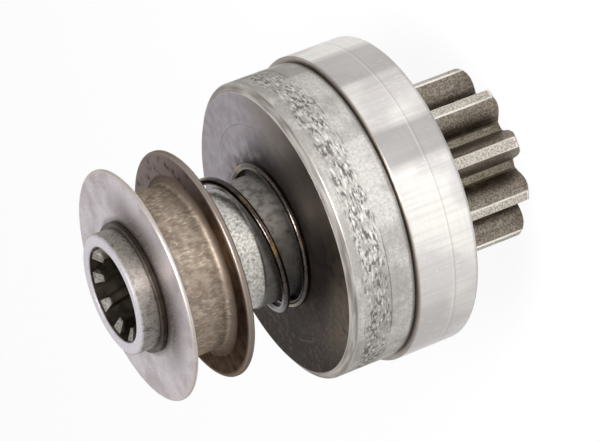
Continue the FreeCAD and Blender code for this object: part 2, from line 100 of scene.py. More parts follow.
class Value:
    """A number that varies over a surface; each operator on it adds one Math node."""

    def __init__(self, tree: "Tree", socket: bpy.types.NodeSocket) -> None:
        """Wrap a socket of a tree."""
        self.tree = tree
        self.socket = socket

    def _math(self, operation: str, *terms: "Value | float", clamp: bool = False) -> "Value":
        """Add a Math node.

        Args:
            operation: the node's operation.
            terms: its inputs in order.
            clamp: whether the result is held between 0 and 1.

        Returns:
            The result.
        """
        settings = {"operation": operation, "use_clamp": clamp}
        made = self.tree.node("ShaderNodeMath", settings, dict(enumerate(terms)))
        return Value(self.tree, made.outputs[0])

    def __add__(self, other: "Value | float") -> "Value":
        """Sum."""
        return self._math("ADD", self, other)

    def __radd__(self, other: float) -> "Value":
        """Sum with the number first."""
        return self._math("ADD", other, self)

    def __sub__(self, other: "Value | float") -> "Value":
        """Difference."""
        return self._math("SUBTRACT", self, other)

    def __rsub__(self, other: float) -> "Value":
        """Difference with the number first."""
        return self._math("SUBTRACT", other, self)

    def __mul__(self, other: "Value | float") -> "Value":
        """Product."""
        return self._math("MULTIPLY", self, other)

    def __rmul__(self, other: float) -> "Value":
        """Product with the number first."""
        return self._math("MULTIPLY", other, self)

    def root(self) -> "Value":
        """Square root."""
        return self._math("SQRT", self)

    def angle_over(self, other: "Value") -> "Value":
        """Angle in radians, all round, whose tangent is this value over another."""
        return self._math("ARCTAN2", self, other)

    def larger(self, other: "Value | float") -> "Value":
        """The larger of two values."""
        return self._math("MAXIMUM", self, other)

    def clamped(self) -> "Value":
        """The value held between 0 and 1."""
        return self._math("ADD", self, 0.0, clamp=True)

    def rise(self, low: float, high: float) -> "Value":
        """Smooth step.

        Args:
            low: value at which the result is 0.
            high: value at which the result is 1; it may be the smaller of the two.

        Returns:
            0 to 1.
        """
        if low > high:
            return 1 - self.rise(high, low)
        inputs = {"Value": self, "From Min": low, "From Max": high}
        made = self.tree.node("ShaderNodeMapRange", {"interpolation_type": "SMOOTHSTEP"}, inputs)
        return Value(self.tree, made.outputs["Result"])

    def band(self, low: float, high: float, soft: float) -> "Value":
        """Mask of a stretch.

        Args:
            low: where the stretch starts.
            high: where it ends.
            soft: how far its two edges fade.

        Returns:
            1 inside the stretch, 0 outside.
        """
        return self.rise(low - soft, low + soft) * self.rise(high + soft, high - soft)


class Grain(Enum):
    """Direction in which a metal's marks run, as the stretch of the pattern along X, Y and Z."""

    EVEN = (1.0, 1.0, 1.0)
    AROUND = (0.06, 0.06, 1.0)
    ALONG = (1.0, 1.0, 0.05)
    SHORT = (1.0, 1.0, 0.25)
    DRAWN = (1.0, 1.0, 0.45)
    TORN = (0.36, 0.36, 1.0)


class Tree:
    """Node tree of a material or of the world."""

    def __init__(self, holder: bpy.types.Material | bpy.types.World) -> None:
        """Empty the holder's node tree.

        Args:
            holder: the material or world that has the tree.
        """
        holder.use_nodes = True
        self.nodes = holder.node_tree.nodes
        self.links = holder.node_tree.links
        self.nodes.clear()

    def node(
        self,
        kind: str,
        settings: dict[str, Any] | None = None,
        inputs: dict[int | str, Any] | None = None,
    ) -> bpy.types.Node:
        """Add a node.

        Args:
            kind: the node's type.
            settings: its properties, which are set first.
            inputs: numbers, colours, sockets or values for its input sockets.

        Returns:
            The node.
        """
        made = self.nodes.new(kind)
        for key, setting in (settings or {}).items():
            setattr(made, key, setting)
        for key, source in (inputs or {}).items():
            if isinstance(source, Value):
                self.links.new(source.socket, made.inputs[key])
            elif isinstance(source, bpy.types.NodeSocket):
                self.links.new(source, made.inputs[key])
            else:
                made.inputs[key].default_value = source
        return made

    def value(self, made: bpy.types.Node, output: str) -> Value:
        """Value of one of a node's outputs."""
        return Value(self, made.outputs[output])


class Surface(Tree):
    """Node tree of one finish, with its surface coordinates in millimetres."""

    def __init__(self, name: str) -> None:
        """Start an empty material with the coordinates that every finish uses.

        Args:
            name: the material's name.
        """
        self.material = bpy.data.materials.new(name)
        super().__init__(self.material)
        source = self.node("ShaderNodeTexCoord").outputs["Object"]
        scale = {0: source, "Scale": 1 / MM}
        scaled = self.node("ShaderNodeVectorMath", {"operation": "SCALE"}, scale)
        self.place = scaled.outputs[0]
        parts = self.node("ShaderNodeSeparateXYZ", {}, {0: self.place})
        self.x, self.y, self.z = (self.value(parts, axis) for axis in "XYZ")
        self.radius = (self.x * self.x + self.y * self.y).root()
        self.angle = self.y.angle_over(self.x)

    def noise(
        self,
        scale: float,
        grain: Grain = Grain.EVEN,
        detail: float = 3.0,
        seed: float = 0.0,
    ) -> Value:
        """Cloudy noise over the surface.

        Args:
            scale: cells in a millimetre.
            grain: direction in which it is drawn out.
            detail: number of finer layers.
            seed: shift that makes one noise unlike another.

        Returns:
            About 0.2 to 0.8, around a half.
        """
        stretched = self.node(
            "ShaderNodeVectorMath",
            {"operation": "MULTIPLY_ADD"},
            {0: self.place, 1: grain.value, 2: (seed, seed * 0.7, seed * 1.3)},
        )
        inputs = {"Vector": stretched.outputs[0], "Scale": scale, "Detail": detail}
        return Value(self, self.node("ShaderNodeTexNoise", {}, inputs).outputs[0])

    def rings(self, scale: float, detail: float = 2.0) -> Value:
        """Turning marks on a flat face, as noise over the radius.

        Args:
            scale: marks in a millimetre.
            detail: number of finer layers.

        Returns:
            About 0.2 to 0.8, around a half.
        """
        spot = self.node("ShaderNodeCombineXYZ", {}, {0: self.radius, 1: self.angle * 0.15})
        inputs = {"Vector": spot.outputs[0], "Scale": scale, "Detail": detail}
        return Value(self, self.node("ShaderNodeTexNoise", {}, inputs).outputs[0])

    def mix(self, factor: Value, first: Any, second: Any) -> bpy.types.NodeSocket:
        """Blend two colours.

        Args:
            factor: share of the second colour.
            first: colour or socket.
            second: colour or socket.

        Returns:
            The blended colour.
        """
        settings = {"data_type": "RGBA", "clamp_factor": True}
        made = self.node("ShaderNodeMix", settings, {0: factor, 6: first, 7: second})
        return made.outputs[2]


@dataclass(frozen=True)
class Painted:
    """What a finish works out: colour, roughness, relief in millimetres and grazing tint."""

    colour: bpy.types.NodeSocket
    roughness: Value
    height: Value
    edge_tint: Colour = WHITE


@dataclass(frozen=True)
class Finish:
    """A metal finish on one kind of surface."""

    name: str

    def paint(self, tree: Surface) -> Painted:
        """Work out the finish.

        Args:
            tree: the tree to build it in.

        Returns:
            What goes into the shader.
        """
        raise NotImplementedError

    def material(self) -> bpy.types.Material:
        """Make the finish's material, or give the one made before.

        Returns:
            The material.
        """
        known = bpy.data.materials.get(self.name)
        if known is not None:
            return known
        tree = Surface(self.name)
        painted = self.paint(tree)
        bump = tree.node("ShaderNodeBump", {}, {"Distance": MM, "Height": painted.height})
        shader = tree.node(
            "ShaderNodeBsdfPrincipled",
            {},
            {
                "Base Color": painted.colour,
                "Metallic": 1.0,
                "Specular Tint": painted.edge_tint,
                "Roughness": painted.roughness,
                "Normal": bump.outputs[0],
            },
        )
        tree.node("ShaderNodeOutputMaterial", {}, {"Surface": shader.outputs[0]})
        return tree.material


@dataclass(frozen=True)
class SatinCasing(Finish):
    """Bright drawn steel, rubbed along the axis, with a faint line round it."""

    bottom: float = 0.0
    top: float = 0.0
    line_height: float = 0.0

    def paint(self, tree: Surface) -> Painted:
        """Satin patches, painted reflection bands, fine lengthwise scratches, a faint line with a painted
        highlight beside it, painted shade on the front rounding and a stained rear lip.

        Args:
            tree: the tree to build in.

        Returns:
            What goes into the shader.
        """
        patches = tree.noise(0.07, detail=4.0, seed=3.0).rise(0.44, 0.6)
        rubbed = tree.noise(1.4, Grain.ALONG, detail=4.0)
        scratches = tree.noise(2.2, Grain.SHORT, detail=2.0, seed=9.0).rise(0.62, 0.7) * patches
        turned = tree.noise(1.6, Grain.AROUND, detail=2.0, seed=5.0)
        colour = tree.mix(patches, tone(218, 215, 210), tone(198, 194, 192))
        # Painted reflection: grey bands at set angles round the casing, their edges broken by noise, stand
        # in for dark reflections.
        turn = tree.angle + (tree.noise(0.3, Grain.ALONG, seed=7.0) - 0.5) * 0.4
        painted_light_zone = turn.band(-0.86, -0.5, 0.12) * 0.8 + turn.band(-1.47, -1.2, 0.1)
        painted_light_zone = painted_light_zone + turn.band(2.6, 3.4, 0.2) * 0.6 + turn.band(-2.9, -2.4, 0.12) * 0.5
        painted_light_zone = (painted_light_zone + turn.band(0.5, 1.4, 0.2) * 0.6).clamped()
        colour = tree.mix(painted_light_zone * 0.9, colour, tone(150, 147, 146))
        colour = tree.mix(rubbed.rise(0.35, 0.8) * 0.35, colour, tone(172, 168, 166))
        colour = tree.mix(turned.rise(0.35, 0.8) * 0.15, colour, tone(180, 175, 172))
        colour = tree.mix(scratches * 0.3, colour, tone(230, 228, 224))
        line = tree.z.band(self.line_height - 0.12, self.line_height + 0.04, 0.16)
        colour = tree.mix(line * 0.55, colour, tone(140, 134, 130))
        # Painted highlight: a paler band just behind the faint line, where its step would catch the light.
        painted_ridge_highlight = tree.z.band(self.line_height + 0.3, self.line_height + 0.5, 0.2)
        colour = tree.mix(painted_ridge_highlight * 0.25, colour, tone(232, 229, 225))
        # Painted shade: the front rounding is darkened; it is also made rougher.
        front = tree.z.rise(self.bottom + 1.3, self.bottom + 0.3)
        colour = tree.mix(front * 0.55, colour, tone(150, 146, 142))
        lip = tree.z.rise(self.top - 0.42, self.top - 0.12)
        colour = tree.mix(lip * 0.75, colour, tone(124, 110, 98))
        roughness = 0.3 + rubbed * 0.12 + patches * 0.08 + front * 0.1
        height = rubbed * 0.006 + scratches * 0.002 + turned * 0.003
        return Painted(colour, roughness, height)


@dataclass(frozen=True)
class PittedRace(Finish):
    """Turned steel race: pitted band round its side, worn bevel and a rear face with painted dark
    reflections, painted shade and grime.
    """

    radius: float = 0.0
    top: float = 0.0
    bevel_width: float = 0.0
    bevel_height: float = 0.0
    bore: float = 0.0
    band_bottom: float = 0.0
    band_top: float = 0.0
    tool_mark: float = 22.95

    def side(self, tree: Surface) -> tuple[bpy.types.NodeSocket, Value, Value]:
        """Paint the cylinder.

        Args:
            tree: the tree to build in.

        Returns:
            Colour, roughness and relief.
        """
        speckle = tree.noise(2.1, detail=3.0, seed=1.0)
        clouds = tree.noise(0.16, detail=3.0, seed=4.0)
        brushed = tree.noise(1.1, Grain.AROUND, detail=4.0, seed=6.0)
        crinkle = tree.noise(2.1, Grain.TORN, detail=4.0, seed=8.0)
        level = tree.z + (tree.noise(0.4, detail=3.0, seed=2.0) - 0.5) * 2.6
        band = level.band(self.band_bottom, self.band_top, 0.7)
        gathered = tree.noise(0.42, detail=2.0, seed=10.0).rise(0.4, 0.58)
        pits = (crinkle + gathered * 0.05).rise(0.54, 0.61) * band * (gathered * 0.7 + 0.3)
        # Painted glints: pale flecks in the pitted band, raised a little in the relief.
        painted_glint_flecks = crinkle.rise(0.43, 0.36) * band
        winding = tree.noise(1.1, Grain.AROUND, detail=3.0, seed=16.0)
        threads = winding.band(0.47, 0.478, 0.014) + winding.band(0.54, 0.548, 0.014)
        cracks = threads.clamped() * band * gathered
        colour = tree.mix(speckle.rise(0.3, 0.75), tone(200, 197, 193), tone(172, 168, 164))
        colour = tree.mix(brushed.rise(0.42, 0.74) * 0.4, colour, tone(156, 152, 148))
        colour = tree.mix(clouds.rise(0.42, 0.6) * 0.55, colour, tone(144, 140, 136))
        colour = tree.mix(band * 0.2, colour, tone(150, 146, 142))
        colour = tree.mix(pits * 0.75, colour, tone(80, 75, 72))
        colour = tree.mix(cracks * 0.65, colour, tone(84, 79, 75))
        colour = tree.mix(painted_glint_flecks * 0.6, colour, tone(230, 227, 222))
        score = self.scores(tree, clouds)
        colour = tree.mix(score * 0.9, colour, tone(72, 67, 64))
        # Painted shade: the side darkens towards the casing's rolled lip.
        painted_lip_shade = tree.z.rise(self.band_bottom - 4.7, self.band_bottom - 5.6)
        colour = tree.mix(painted_lip_shade * 0.6, colour, tone(78, 72, 68))
        roughness = 0.3 + speckle * 0.14 + pits * 0.22
        height = speckle * 0.006 + brushed * 0.006 + painted_glint_flecks * 0.02
        height = height - pits * 0.06 - cracks * 0.04 - score * 0.03
        return colour, roughness, height

    def scores(self, tree: Surface, clouds: Value) -> Value:
        """Fine broken lines scored round the side at both edges of the pitted band.

        Args:
            tree: the tree to build in.
            clouds: cloudy noise that breaks the lines.

        Returns:
            1 on a line.
        """
        broken = clouds.rise(0.38, 0.5)
        front = tree.z.band(self.band_bottom - 0.46, self.band_bottom - 0.34, 0.1) * broken
        rear = tree.z.band(self.band_top + 0.5, self.band_top + 0.58, 0.1) * (1 - broken)
        return (front + rear).clamped()

    def rear(self, tree: Surface) -> tuple[bpy.types.NodeSocket, Value, Value]:
        """Paint the flat rear face.

        Args:
            tree: the tree to build in.

        Returns:
            Colour, roughness and relief.
        """
        mottle = tree.noise(0.45, detail=5.0, seed=11.0)
        fine = tree.noise(3.0, detail=2.0, seed=12.0)
        marks = tree.rings(2.4)
        colour = tree.mix(mottle.rise(0.35, 0.7), tone(163, 158, 164), tone(149, 143, 148))
        colour = tree.mix(marks.rise(0.55, 0.7) * 0.25, colour, tone(120, 112, 118))
        ragged = (mottle - 0.5) * 9
        # Painted reflection: warmer brown-grey towards -Y.
        painted_warm_reflection = (tree.y + ragged * 0.6).rise(-4.0, -21.0)
        colour = tree.mix(painted_warm_reflection * 0.7, colour, tone(122, 113, 102))
        # Painted reflection: the face darkens towards -X, standing in for the dark surroundings it
        # mirrors.
        painted_dark_reflection = (tree.x + ragged).rise(3.0, -13.0)
        colour = tree.mix(painted_dark_reflection * 0.92, colour, tone(62, 56, 54))
        # Painted reflection: brown near the rim inside the darkened part.
        painted_brown_reflection = painted_dark_reflection * tree.radius.rise(20.0, 27.0) * mottle.rise(0.3, 0.6)
        colour = tree.mix(painted_brown_reflection * 0.85, colour, tone(118, 105, 91))
        # Painted reflection: darkest towards +Y and -X.
        painted_darkest_reflection = (tree.y * 0.5 - tree.x * 0.87 + ragged).rise(6.0, 26.0)
        colour = tree.mix(painted_darkest_reflection * 0.9, colour, tone(34, 31, 32))
        # Dust: paler specks, shown only inside the painted dark reflection.
        dusty = tree.noise(1.5, detail=4.0, seed=17.0).rise(0.5, 0.68) * painted_dark_reflection
        colour = tree.mix(dusty * 0.3, colour, tone(118, 110, 104))
        tool = tree.radius.band(self.tool_mark, self.tool_mark + 0.15, 0.12)
        tool = tool * tree.noise(0.12, seed=13.0).rise(0.42, 0.55)
        colour = tree.mix(tool * 0.6, colour, tone(108, 101, 106))
        # Grime and painted shade: a patchy dark ring where the face meets the tube, round the spring.
        inner = tree.radius.rise(self.bore + 8.5, self.bore + 2.0)
        grime_and_painted_shade = inner * tree.noise(0.35, detail=4.0, seed=14.0).rise(0.25, 0.6)
        colour = tree.mix(grime_and_painted_shade * 0.8, colour, tone(64, 56, 50))
        # Painted shadow of the spring: near-black towards -Y, close to the tube.
        painted_spring_shadow = tree.radius.rise(self.bore + 12.0, self.bore + 3.0) * tree.y.rise(-1.0, -12.0)
        colour = tree.mix(painted_spring_shadow * 0.75, colour, tone(42, 36, 32))
        roughness = 0.28 + mottle * 0.12 + grime_and_painted_shade * 0.2 + painted_spring_shadow * 0.14 + painted_dark_reflection * 0.06
        height = fine * 0.004 + marks * 0.006 - tool * 0.02
        return colour, roughness, height

    def paint(self, tree: Surface) -> Painted:
        """Join the side, the bevel and the rear face by their places on the race.

        Args:
            tree: the tree to build in.

        Returns:
            What goes into the shader.
        """
        side_colour, side_rough, side_height = self.side(tree)
        rear_colour, rear_rough, rear_height = self.rear(tree)
        on_rear = tree.z.rise(self.top - 0.06, self.top - 0.01)
        foot = self.top - self.bevel_height
        on_bevel = tree.z.rise(foot - 0.08, foot + 0.04) * (1 - on_rear)
        colour = tree.mix(on_rear, side_colour, rear_colour)
        bevel_marks = tree.noise(1.6, Grain.AROUND, detail=3.0, seed=15.0)
        bevel_colour = tree.mix(bevel_marks.rise(0.35, 0.65), tone(182, 177, 172), tone(128, 122, 117))
        colour = tree.mix(on_bevel, colour, bevel_colour)
        # Painted highlight: paler lines along the bevel's two edges, which are also made smoother.
        outer_edge = tree.z.band(foot - 0.04, foot + 0.06, 0.1)
        inner_rim = self.radius - self.bevel_width
        inner_edge = tree.radius.band(inner_rim - 0.05, inner_rim + 0.1, 0.1)
        inner_edge = inner_edge * tree.z.rise(foot, self.top)
        painted_edge_highlight = outer_edge.larger(inner_edge)
        colour = tree.mix(painted_edge_highlight * 0.55, colour, tone(206, 200, 192))
        roughness = side_rough * (1 - on_rear) + rear_rough * on_rear - painted_edge_highlight * 0.08
        height = side_height * (1 - on_rear) + rear_height * on_rear
        return Painted(colour, roughness, height, edge_tint=tone(208, 205, 202))


@dataclass(frozen=True)
class SatinDisc(Finish):
    """Pale, slightly pink satin steel of the spool's front disc, bright at its rim."""

    rim: float = 0.0
    ring_radius: float = 13.8
    grime_shade_radius: float = 22.5

    def paint(self, tree: Surface) -> Painted:
        """Soft clouds, small specks, a rubbed rim, painted shade with some grime round the sleeve and
        painted shade at the snap ring.

        Args:
            tree: the tree to build in.

        Returns:
            What goes into the shader.
        """
        clouds = tree.noise(0.22, detail=4.0, seed=21.0)
        specks = tree.noise(2.4, detail=4.0, seed=22.0)
        marks = tree.rings(1.6)
        colour = tree.mix(clouds.rise(0.35, 0.7), tone(190, 182, 185), tone(164, 155, 157))
        colour = tree.mix(specks.rise(0.58, 0.7) * 0.5, colour, tone(214, 205, 206))
        colour = tree.mix(specks.rise(0.42, 0.3) * 0.6, colour, tone(136, 124, 124))
        rubbed = tree.radius.rise(self.rim - 1.0, self.rim - 0.2)
        colour = tree.mix(rubbed * 0.6, colour, tone(186, 177, 166))
        # Painted shade with some grime: a dark ring round the sleeve, strongest towards -Y, stands in for
        # the sleeve's dark reflection.
        spread = tree.radius + (clouds - 0.5) * 5
        grime_and_painted_shade = spread.rise(self.grime_shade_radius, self.grime_shade_radius - 7.5) * tree.y.rise(1.0, -12.0)
        grime_and_painted_shade = grime_and_painted_shade * (specks.rise(0.3, 0.6) * 0.4 + 0.6)
        colour = tree.mix(grime_and_painted_shade * 0.92, colour, tone(78, 69, 62))
        # Painted shade: a dark band just round the snap ring.
        painted_ring_shade = tree.radius.rise(self.ring_radius + 1.4, self.ring_radius)
        colour = tree.mix(painted_ring_shade * 0.6, colour, tone(74, 66, 61))
        roughness = 0.34 + clouds * 0.1 + specks * 0.06 + grime_and_painted_shade * 0.16
        height = specks * 0.012 + marks * 0.004
        return Painted(colour, roughness, height)


@dataclass(frozen=True)
class BronzedCup(Finish):
    """Brown mottled steel of the spool's drum, darker on its flange."""

    drum: float = 0.0
    rim: float = 0.0

    def paint(self, tree: Surface) -> Painted:
        """Mottled drum with painted glints, dark flange made paler towards +X by painted light, painted
        shade in the fillet and a paler rim.

        Args:
            tree: the tree to build in.

        Returns:
            What goes into the shader.
        """
        mottle = tree.noise(0.45, detail=5.0, seed=31.0)
        fine = tree.noise(1.9, Grain.DRAWN, detail=4.0, seed=32.0)
        painted_glint_patches = tree.noise(0.2, detail=2.0, seed=33.0).rise(0.42, 0.62)
        colour = tree.mix(mottle.rise(0.35, 0.65), tone(172, 158, 143), tone(144, 129, 116))
        # Painted glints: bright warm specks, gathered in patches.
        colour = tree.mix(fine.rise(0.46, 0.72) * (painted_glint_patches * 0.6 + 0.3), colour, tone(222, 206, 182))
        colour = tree.mix(fine.rise(0.45, 0.26) * 0.45, colour, tone(104, 92, 81))
        flange = tree.radius.rise(self.drum + 0.4, self.drum + 2.2)
        flange_colour = tree.mix(mottle.rise(0.3, 0.7), tone(78, 69, 64), tone(52, 44, 39))
        # Painted light: the flange is made paler towards +X, its lit side.
        painted_light_zone = tree.x.rise(6.0, 17.0) * mottle.rise(0.3, 0.5)
        flange_colour = tree.mix(painted_light_zone * 0.85, flange_colour, tone(144, 135, 135))
        colour = tree.mix(flange, colour, flange_colour)
        rim = tree.radius.rise(self.rim - 1.3, self.rim - 0.3)
        colour = tree.mix(rim * 0.75, colour, tone(138, 127, 118))
        # Painted shade: the fillet between drum and flange is darkened; it is also made rougher.
        fillet = tree.radius.band(self.drum + 0.1, self.drum + 1.6, 0.3)
        colour = tree.mix(fillet * 0.85, colour, tone(96, 84, 76))
        roughness = 0.33 + mottle * 0.12 + fine * 0.05 + fillet * 0.25
        height = fine * (1 - flange) * 0.035 + mottle * 0.02
        return Painted(colour, roughness, height, edge_tint=tone(190, 180, 172))


@dataclass(frozen=True)
class WornSleeve(Finish):
    """Ground sleeve: bright end face, mottled side, bore painted dark as shade, worn splines."""

    top: float = 0.0
    bore: float = 0.0
    spline_end: float = 0.0
    step: float = 0.0
    spool_bottom: float = 0.0

    def paint(self, tree: Surface) -> Painted:
        """Paint by place: end face, side, bore, the tube behind the spool, and a painted spring shadow on
        the ground part.

        Args:
            tree: the tree to build in.

        Returns:
            What goes into the shader.
        """
        mottle = tree.noise(0.5, detail=5.0, seed=41.0)
        fine = tree.noise(1.9, detail=3.0, seed=42.0)
        specks = tree.noise(1.2, detail=2.0, seed=44.0).rise(0.62, 0.7)
        colour = tree.mix(fine.rise(0.3, 0.74), tone(150, 145, 138), tone(176, 172, 165))
        colour = tree.mix(mottle.rise(0.5, 0.7) * 0.55, colour, tone(84, 79, 74))
        behind = tree.z.band(self.step, self.spool_bottom + 4.0, 0.4)
        hammered = tree.mix(fine.rise(0.3, 0.7), tone(156, 153, 147), tone(216, 213, 207))
        colour = tree.mix(behind * 0.85, colour, hammered)
        ground = tree.z.rise(self.step + 0.1, self.step - 0.1)
        ground_colour = tree.mix(mottle.rise(0.4, 0.7), tone(172, 168, 163), tone(122, 118, 113))
        # Painted shadow of the spring: the ground part darkens away from +X.
        ground_colour = tree.mix(tree.x.rise(7.0, -1.0) * 0.75, ground_colour, tone(74, 70, 66))
        colour = tree.mix(ground, colour, ground_colour)
        colour = tree.mix(specks * 0.6, colour, tone(58, 54, 50))
        # Painted shade: the bore is darkened.
        inside = tree.radius.rise(self.bore + 0.3, self.bore + 0.02)
        inside_colour = tree.mix(mottle.rise(0.3, 0.7), tone(96, 88, 76), tone(58, 52, 45))
        colour = tree.mix(inside, colour, inside_colour)
        near_end = tree.z.rise(self.spline_end - 1.6, self.spline_end - 0.9)
        tooth_ends = inside * near_end * tree.radius.rise(self.bore, self.bore - 0.25)
        end_tone = tree.mix(fine.rise(0.3, 0.7), tone(112, 108, 102), tone(162, 158, 152))
        colour = tree.mix(tooth_ends * 0.9, colour, end_tone)
        end_face = tree.z.rise(self.top - 0.4, self.top - 0.05)
        end_colour = tree.mix(fine.rise(0.35, 0.7), tone(202, 197, 203), tone(184, 179, 186))
        colour = tree.mix(end_face, colour, end_colour)
        roughness = 0.3 + mottle * 0.14 + inside * 0.1 + ground * 0.08 - end_face * 0.04
        height = fine * (0.014 + behind * 0.04) * (1 - end_face * 0.8) + mottle * 0.02
        return Painted(colour, roughness, height)


@dataclass(frozen=True)
class OiledWire(Finish):
    """Dark spring wire with an oil sheen and brassy patches of painted glint."""

    def paint(self, tree: Surface) -> Painted:
        """Dark wire with brassy patches of painted glint.

        Args:
            tree: the tree to build in.

        Returns:
            What goes into the shader.
        """
        patches = tree.noise(0.18, detail=3.0, seed=51.0)
        fine = tree.noise(2.0, detail=3.0, seed=52.0)
        colour = tree.mix(fine.rise(0.35, 0.7), tone(76, 69, 65), tone(46, 41, 38))
        # Painted glint: warm brassy patches on the dark wire.
        colour = tree.mix(patches.rise(0.5, 0.66) * 0.6, colour, tone(132, 108, 70))
        roughness = 0.17 + fine * 0.08
        return Painted(colour, roughness, fine * 0.006)


@dataclass(frozen=True)
class RoughPinion(Finish):
    """Dull brown-grey steel, rubbed bright on the tooth lands and painted dark between the teeth as shade.
    """

    tip: float = 0.0
    root: float = 0.0

    def paint(self, tree: Surface) -> Painted:
        """Grainy steel, brighter towards the tooth tips, with painted highlights on their edges and
        painted shade between the teeth.

        Args:
            tree: the tree to build in.

        Returns:
            What goes into the shader.
        """
        grainy = tree.noise(2.6, detail=5.0, seed=61.0)
        clouds = tree.noise(0.3, detail=3.0, seed=62.0)
        along = tree.noise(1.6, Grain.ALONG, detail=3.0, seed=63.0)
        colour = tree.mix(grainy.rise(0.38, 0.64), tone(106, 97, 87), tone(150, 141, 130))
        colour = tree.mix(along.rise(0.5, 0.7) * 0.4, colour, tone(84, 74, 64))
        land = tree.radius.rise(self.tip - 0.5, self.tip - 0.1)
        land_colour = tree.mix(grainy.rise(0.34, 0.66), tone(146, 138, 128), tone(206, 200, 190))
        colour = tree.mix(land, colour, land_colour)
        # Painted highlight: bright broken lines along the edges of the tooth tips.
        painted_edge_highlight = tree.radius.band(self.tip - 0.4, self.tip - 0.12, 0.06) * along.rise(0.28, 0.42)
        colour = tree.mix(painted_edge_highlight * 0.85, colour, tone(238, 233, 225))
        # Painted shade: darker towards the roots, between the teeth.
        painted_root_shade = tree.radius.rise(self.root + 3.0, self.root + 0.6)
        colour = tree.mix(painted_root_shade * clouds.rise(0.25, 0.55) * 0.75, colour, tone(62, 53, 44))
        floor = tree.radius.rise(self.root + 0.3, self.root + 0.08)
        floor_colour = tree.mix(grainy.rise(0.36, 0.62), tone(100, 92, 79), tone(148, 140, 124))
        colour = tree.mix(floor * 0.85, colour, floor_colour)
        foot = tree.radius.band(self.root + 0.14, self.root + 0.5, 0.08)
        colour = tree.mix(foot * 0.55, colour, tone(196, 188, 172))
        roughness = 0.34 + grainy * 0.16
        height = grainy * 0.05 + along * 0.01
        return Painted(colour, roughness, height)


@dataclass(frozen=True)
class PlainSteel(Finish):
    """Steel of a small piece in one tone, with cloudy wear and fine marks."""

    shade: Colour = tone(160, 156, 152)
    stain: Colour = tone(96, 90, 84)
    grain: Grain = Grain.AROUND
    gloss: float = 0.3

    def paint(self, tree: Surface) -> Painted:
        """Clouded steel with fine marks along its grain.

        Args:
            tree: the tree to build in.

        Returns:
            What goes into the shader.
        """
        clouds = tree.noise(0.5, detail=4.0, seed=71.0)
        marks = tree.noise(2.4, self.grain, detail=3.0, seed=72.0)
        colour = tree.mix(clouds.rise(0.4, 0.72) * 0.7, self.shade, self.stain)
        colour = tree.mix(marks.rise(0.55, 0.7) * 0.3, colour, self.stain)
        roughness = self.gloss + clouds * 0.12
        return Painted(colour, roughness, marks * 0.006)


# Surface relief


@dataclass(frozen=True)
class Swell:
    """Smooth random unevenness, closed round the axis."""

    seed: int
    around: int
    cell: float
    depth: float

    def at(self, angle: np.ndarray, along: np.ndarray) -> np.ndarray:
        """Offset at each place.

        Args:
            angle: angle about the axis, in radians.
            along: distance across, in millimetres.

        Returns:
            Offsets within plus and minus the depth, in millimetres.
        """
        start = float(along.min())
        rows = int((float(along.max()) - start) / self.cell) + 3
        lattice = np.random.default_rng(self.seed).uniform(-1, 1, (rows, self.around))
        across = angle / FULL_TURN % 1 * self.around
        upward = (along - start) / self.cell
        column = np.floor(across).astype(int)
        row = np.floor(upward).astype(int)
        side = across - column
        lift = upward - row
        side = side * side * (3 - 2 * side)
        lift = lift * lift * (3 - 2 * lift)
        following = (column + 1) % self.around
        column = column % self.around
        low = lattice[row, column] * (1 - side) + lattice[row, following] * side
        high = lattice[row + 1, column] * (1 - side) + lattice[row + 1, following] * side
        return self.depth * (low * (1 - lift) + high * lift)


@dataclass(frozen=True)
class Dents:
    """Small dents scattered over a band round the axis."""

    seed: int
    count: int
    bottom: float
    top: float
    smallest: float
    largest: float
    depth: float

    def at(self, radius: np.ndarray, angle: np.ndarray, height: np.ndarray) -> np.ndarray:
        """Offset at each place of rows that each keep one height.

        Args:
            radius: distance from the axis, in millimetres.
            angle: angle about the axis, in radians.
            height: height along the axis, in millimetres.

        Returns:
            Offsets, downwards from zero, in millimetres.
        """
        offset = np.zeros_like(radius)
        draw = np.random.default_rng(self.seed)
        row_heights = height[:, 0]
        for _ in range(self.count):
            place = draw.uniform(0, FULL_TURN)
            level = draw.triangular(self.bottom, (self.bottom + self.top) / 2, self.top)
            width = draw.uniform(self.smallest, self.largest)
            length = width * draw.uniform(0.6, 1.8)
            depth = self.depth * draw.uniform(0.3, 1.0)
            rows = np.abs(row_heights - level) < width
            if not rows.any():
                continue
            turn = (angle[rows] - place + math.pi) % FULL_TURN - math.pi
            reach = (turn * radius[rows] / length) ** 2 + ((height[rows] - level) / width) ** 2
            offset[rows] -= depth * np.clip(1 - reach, 0, 1) ** 2
        return offset


# Mesh making


@dataclass(frozen=True)
class Corner:
    """Corner of a turned outline, with its rounding and the mesh spacing after it."""

    radius: float
    height: float
    rounding: float = 0.0
    spacing: float = COARSE


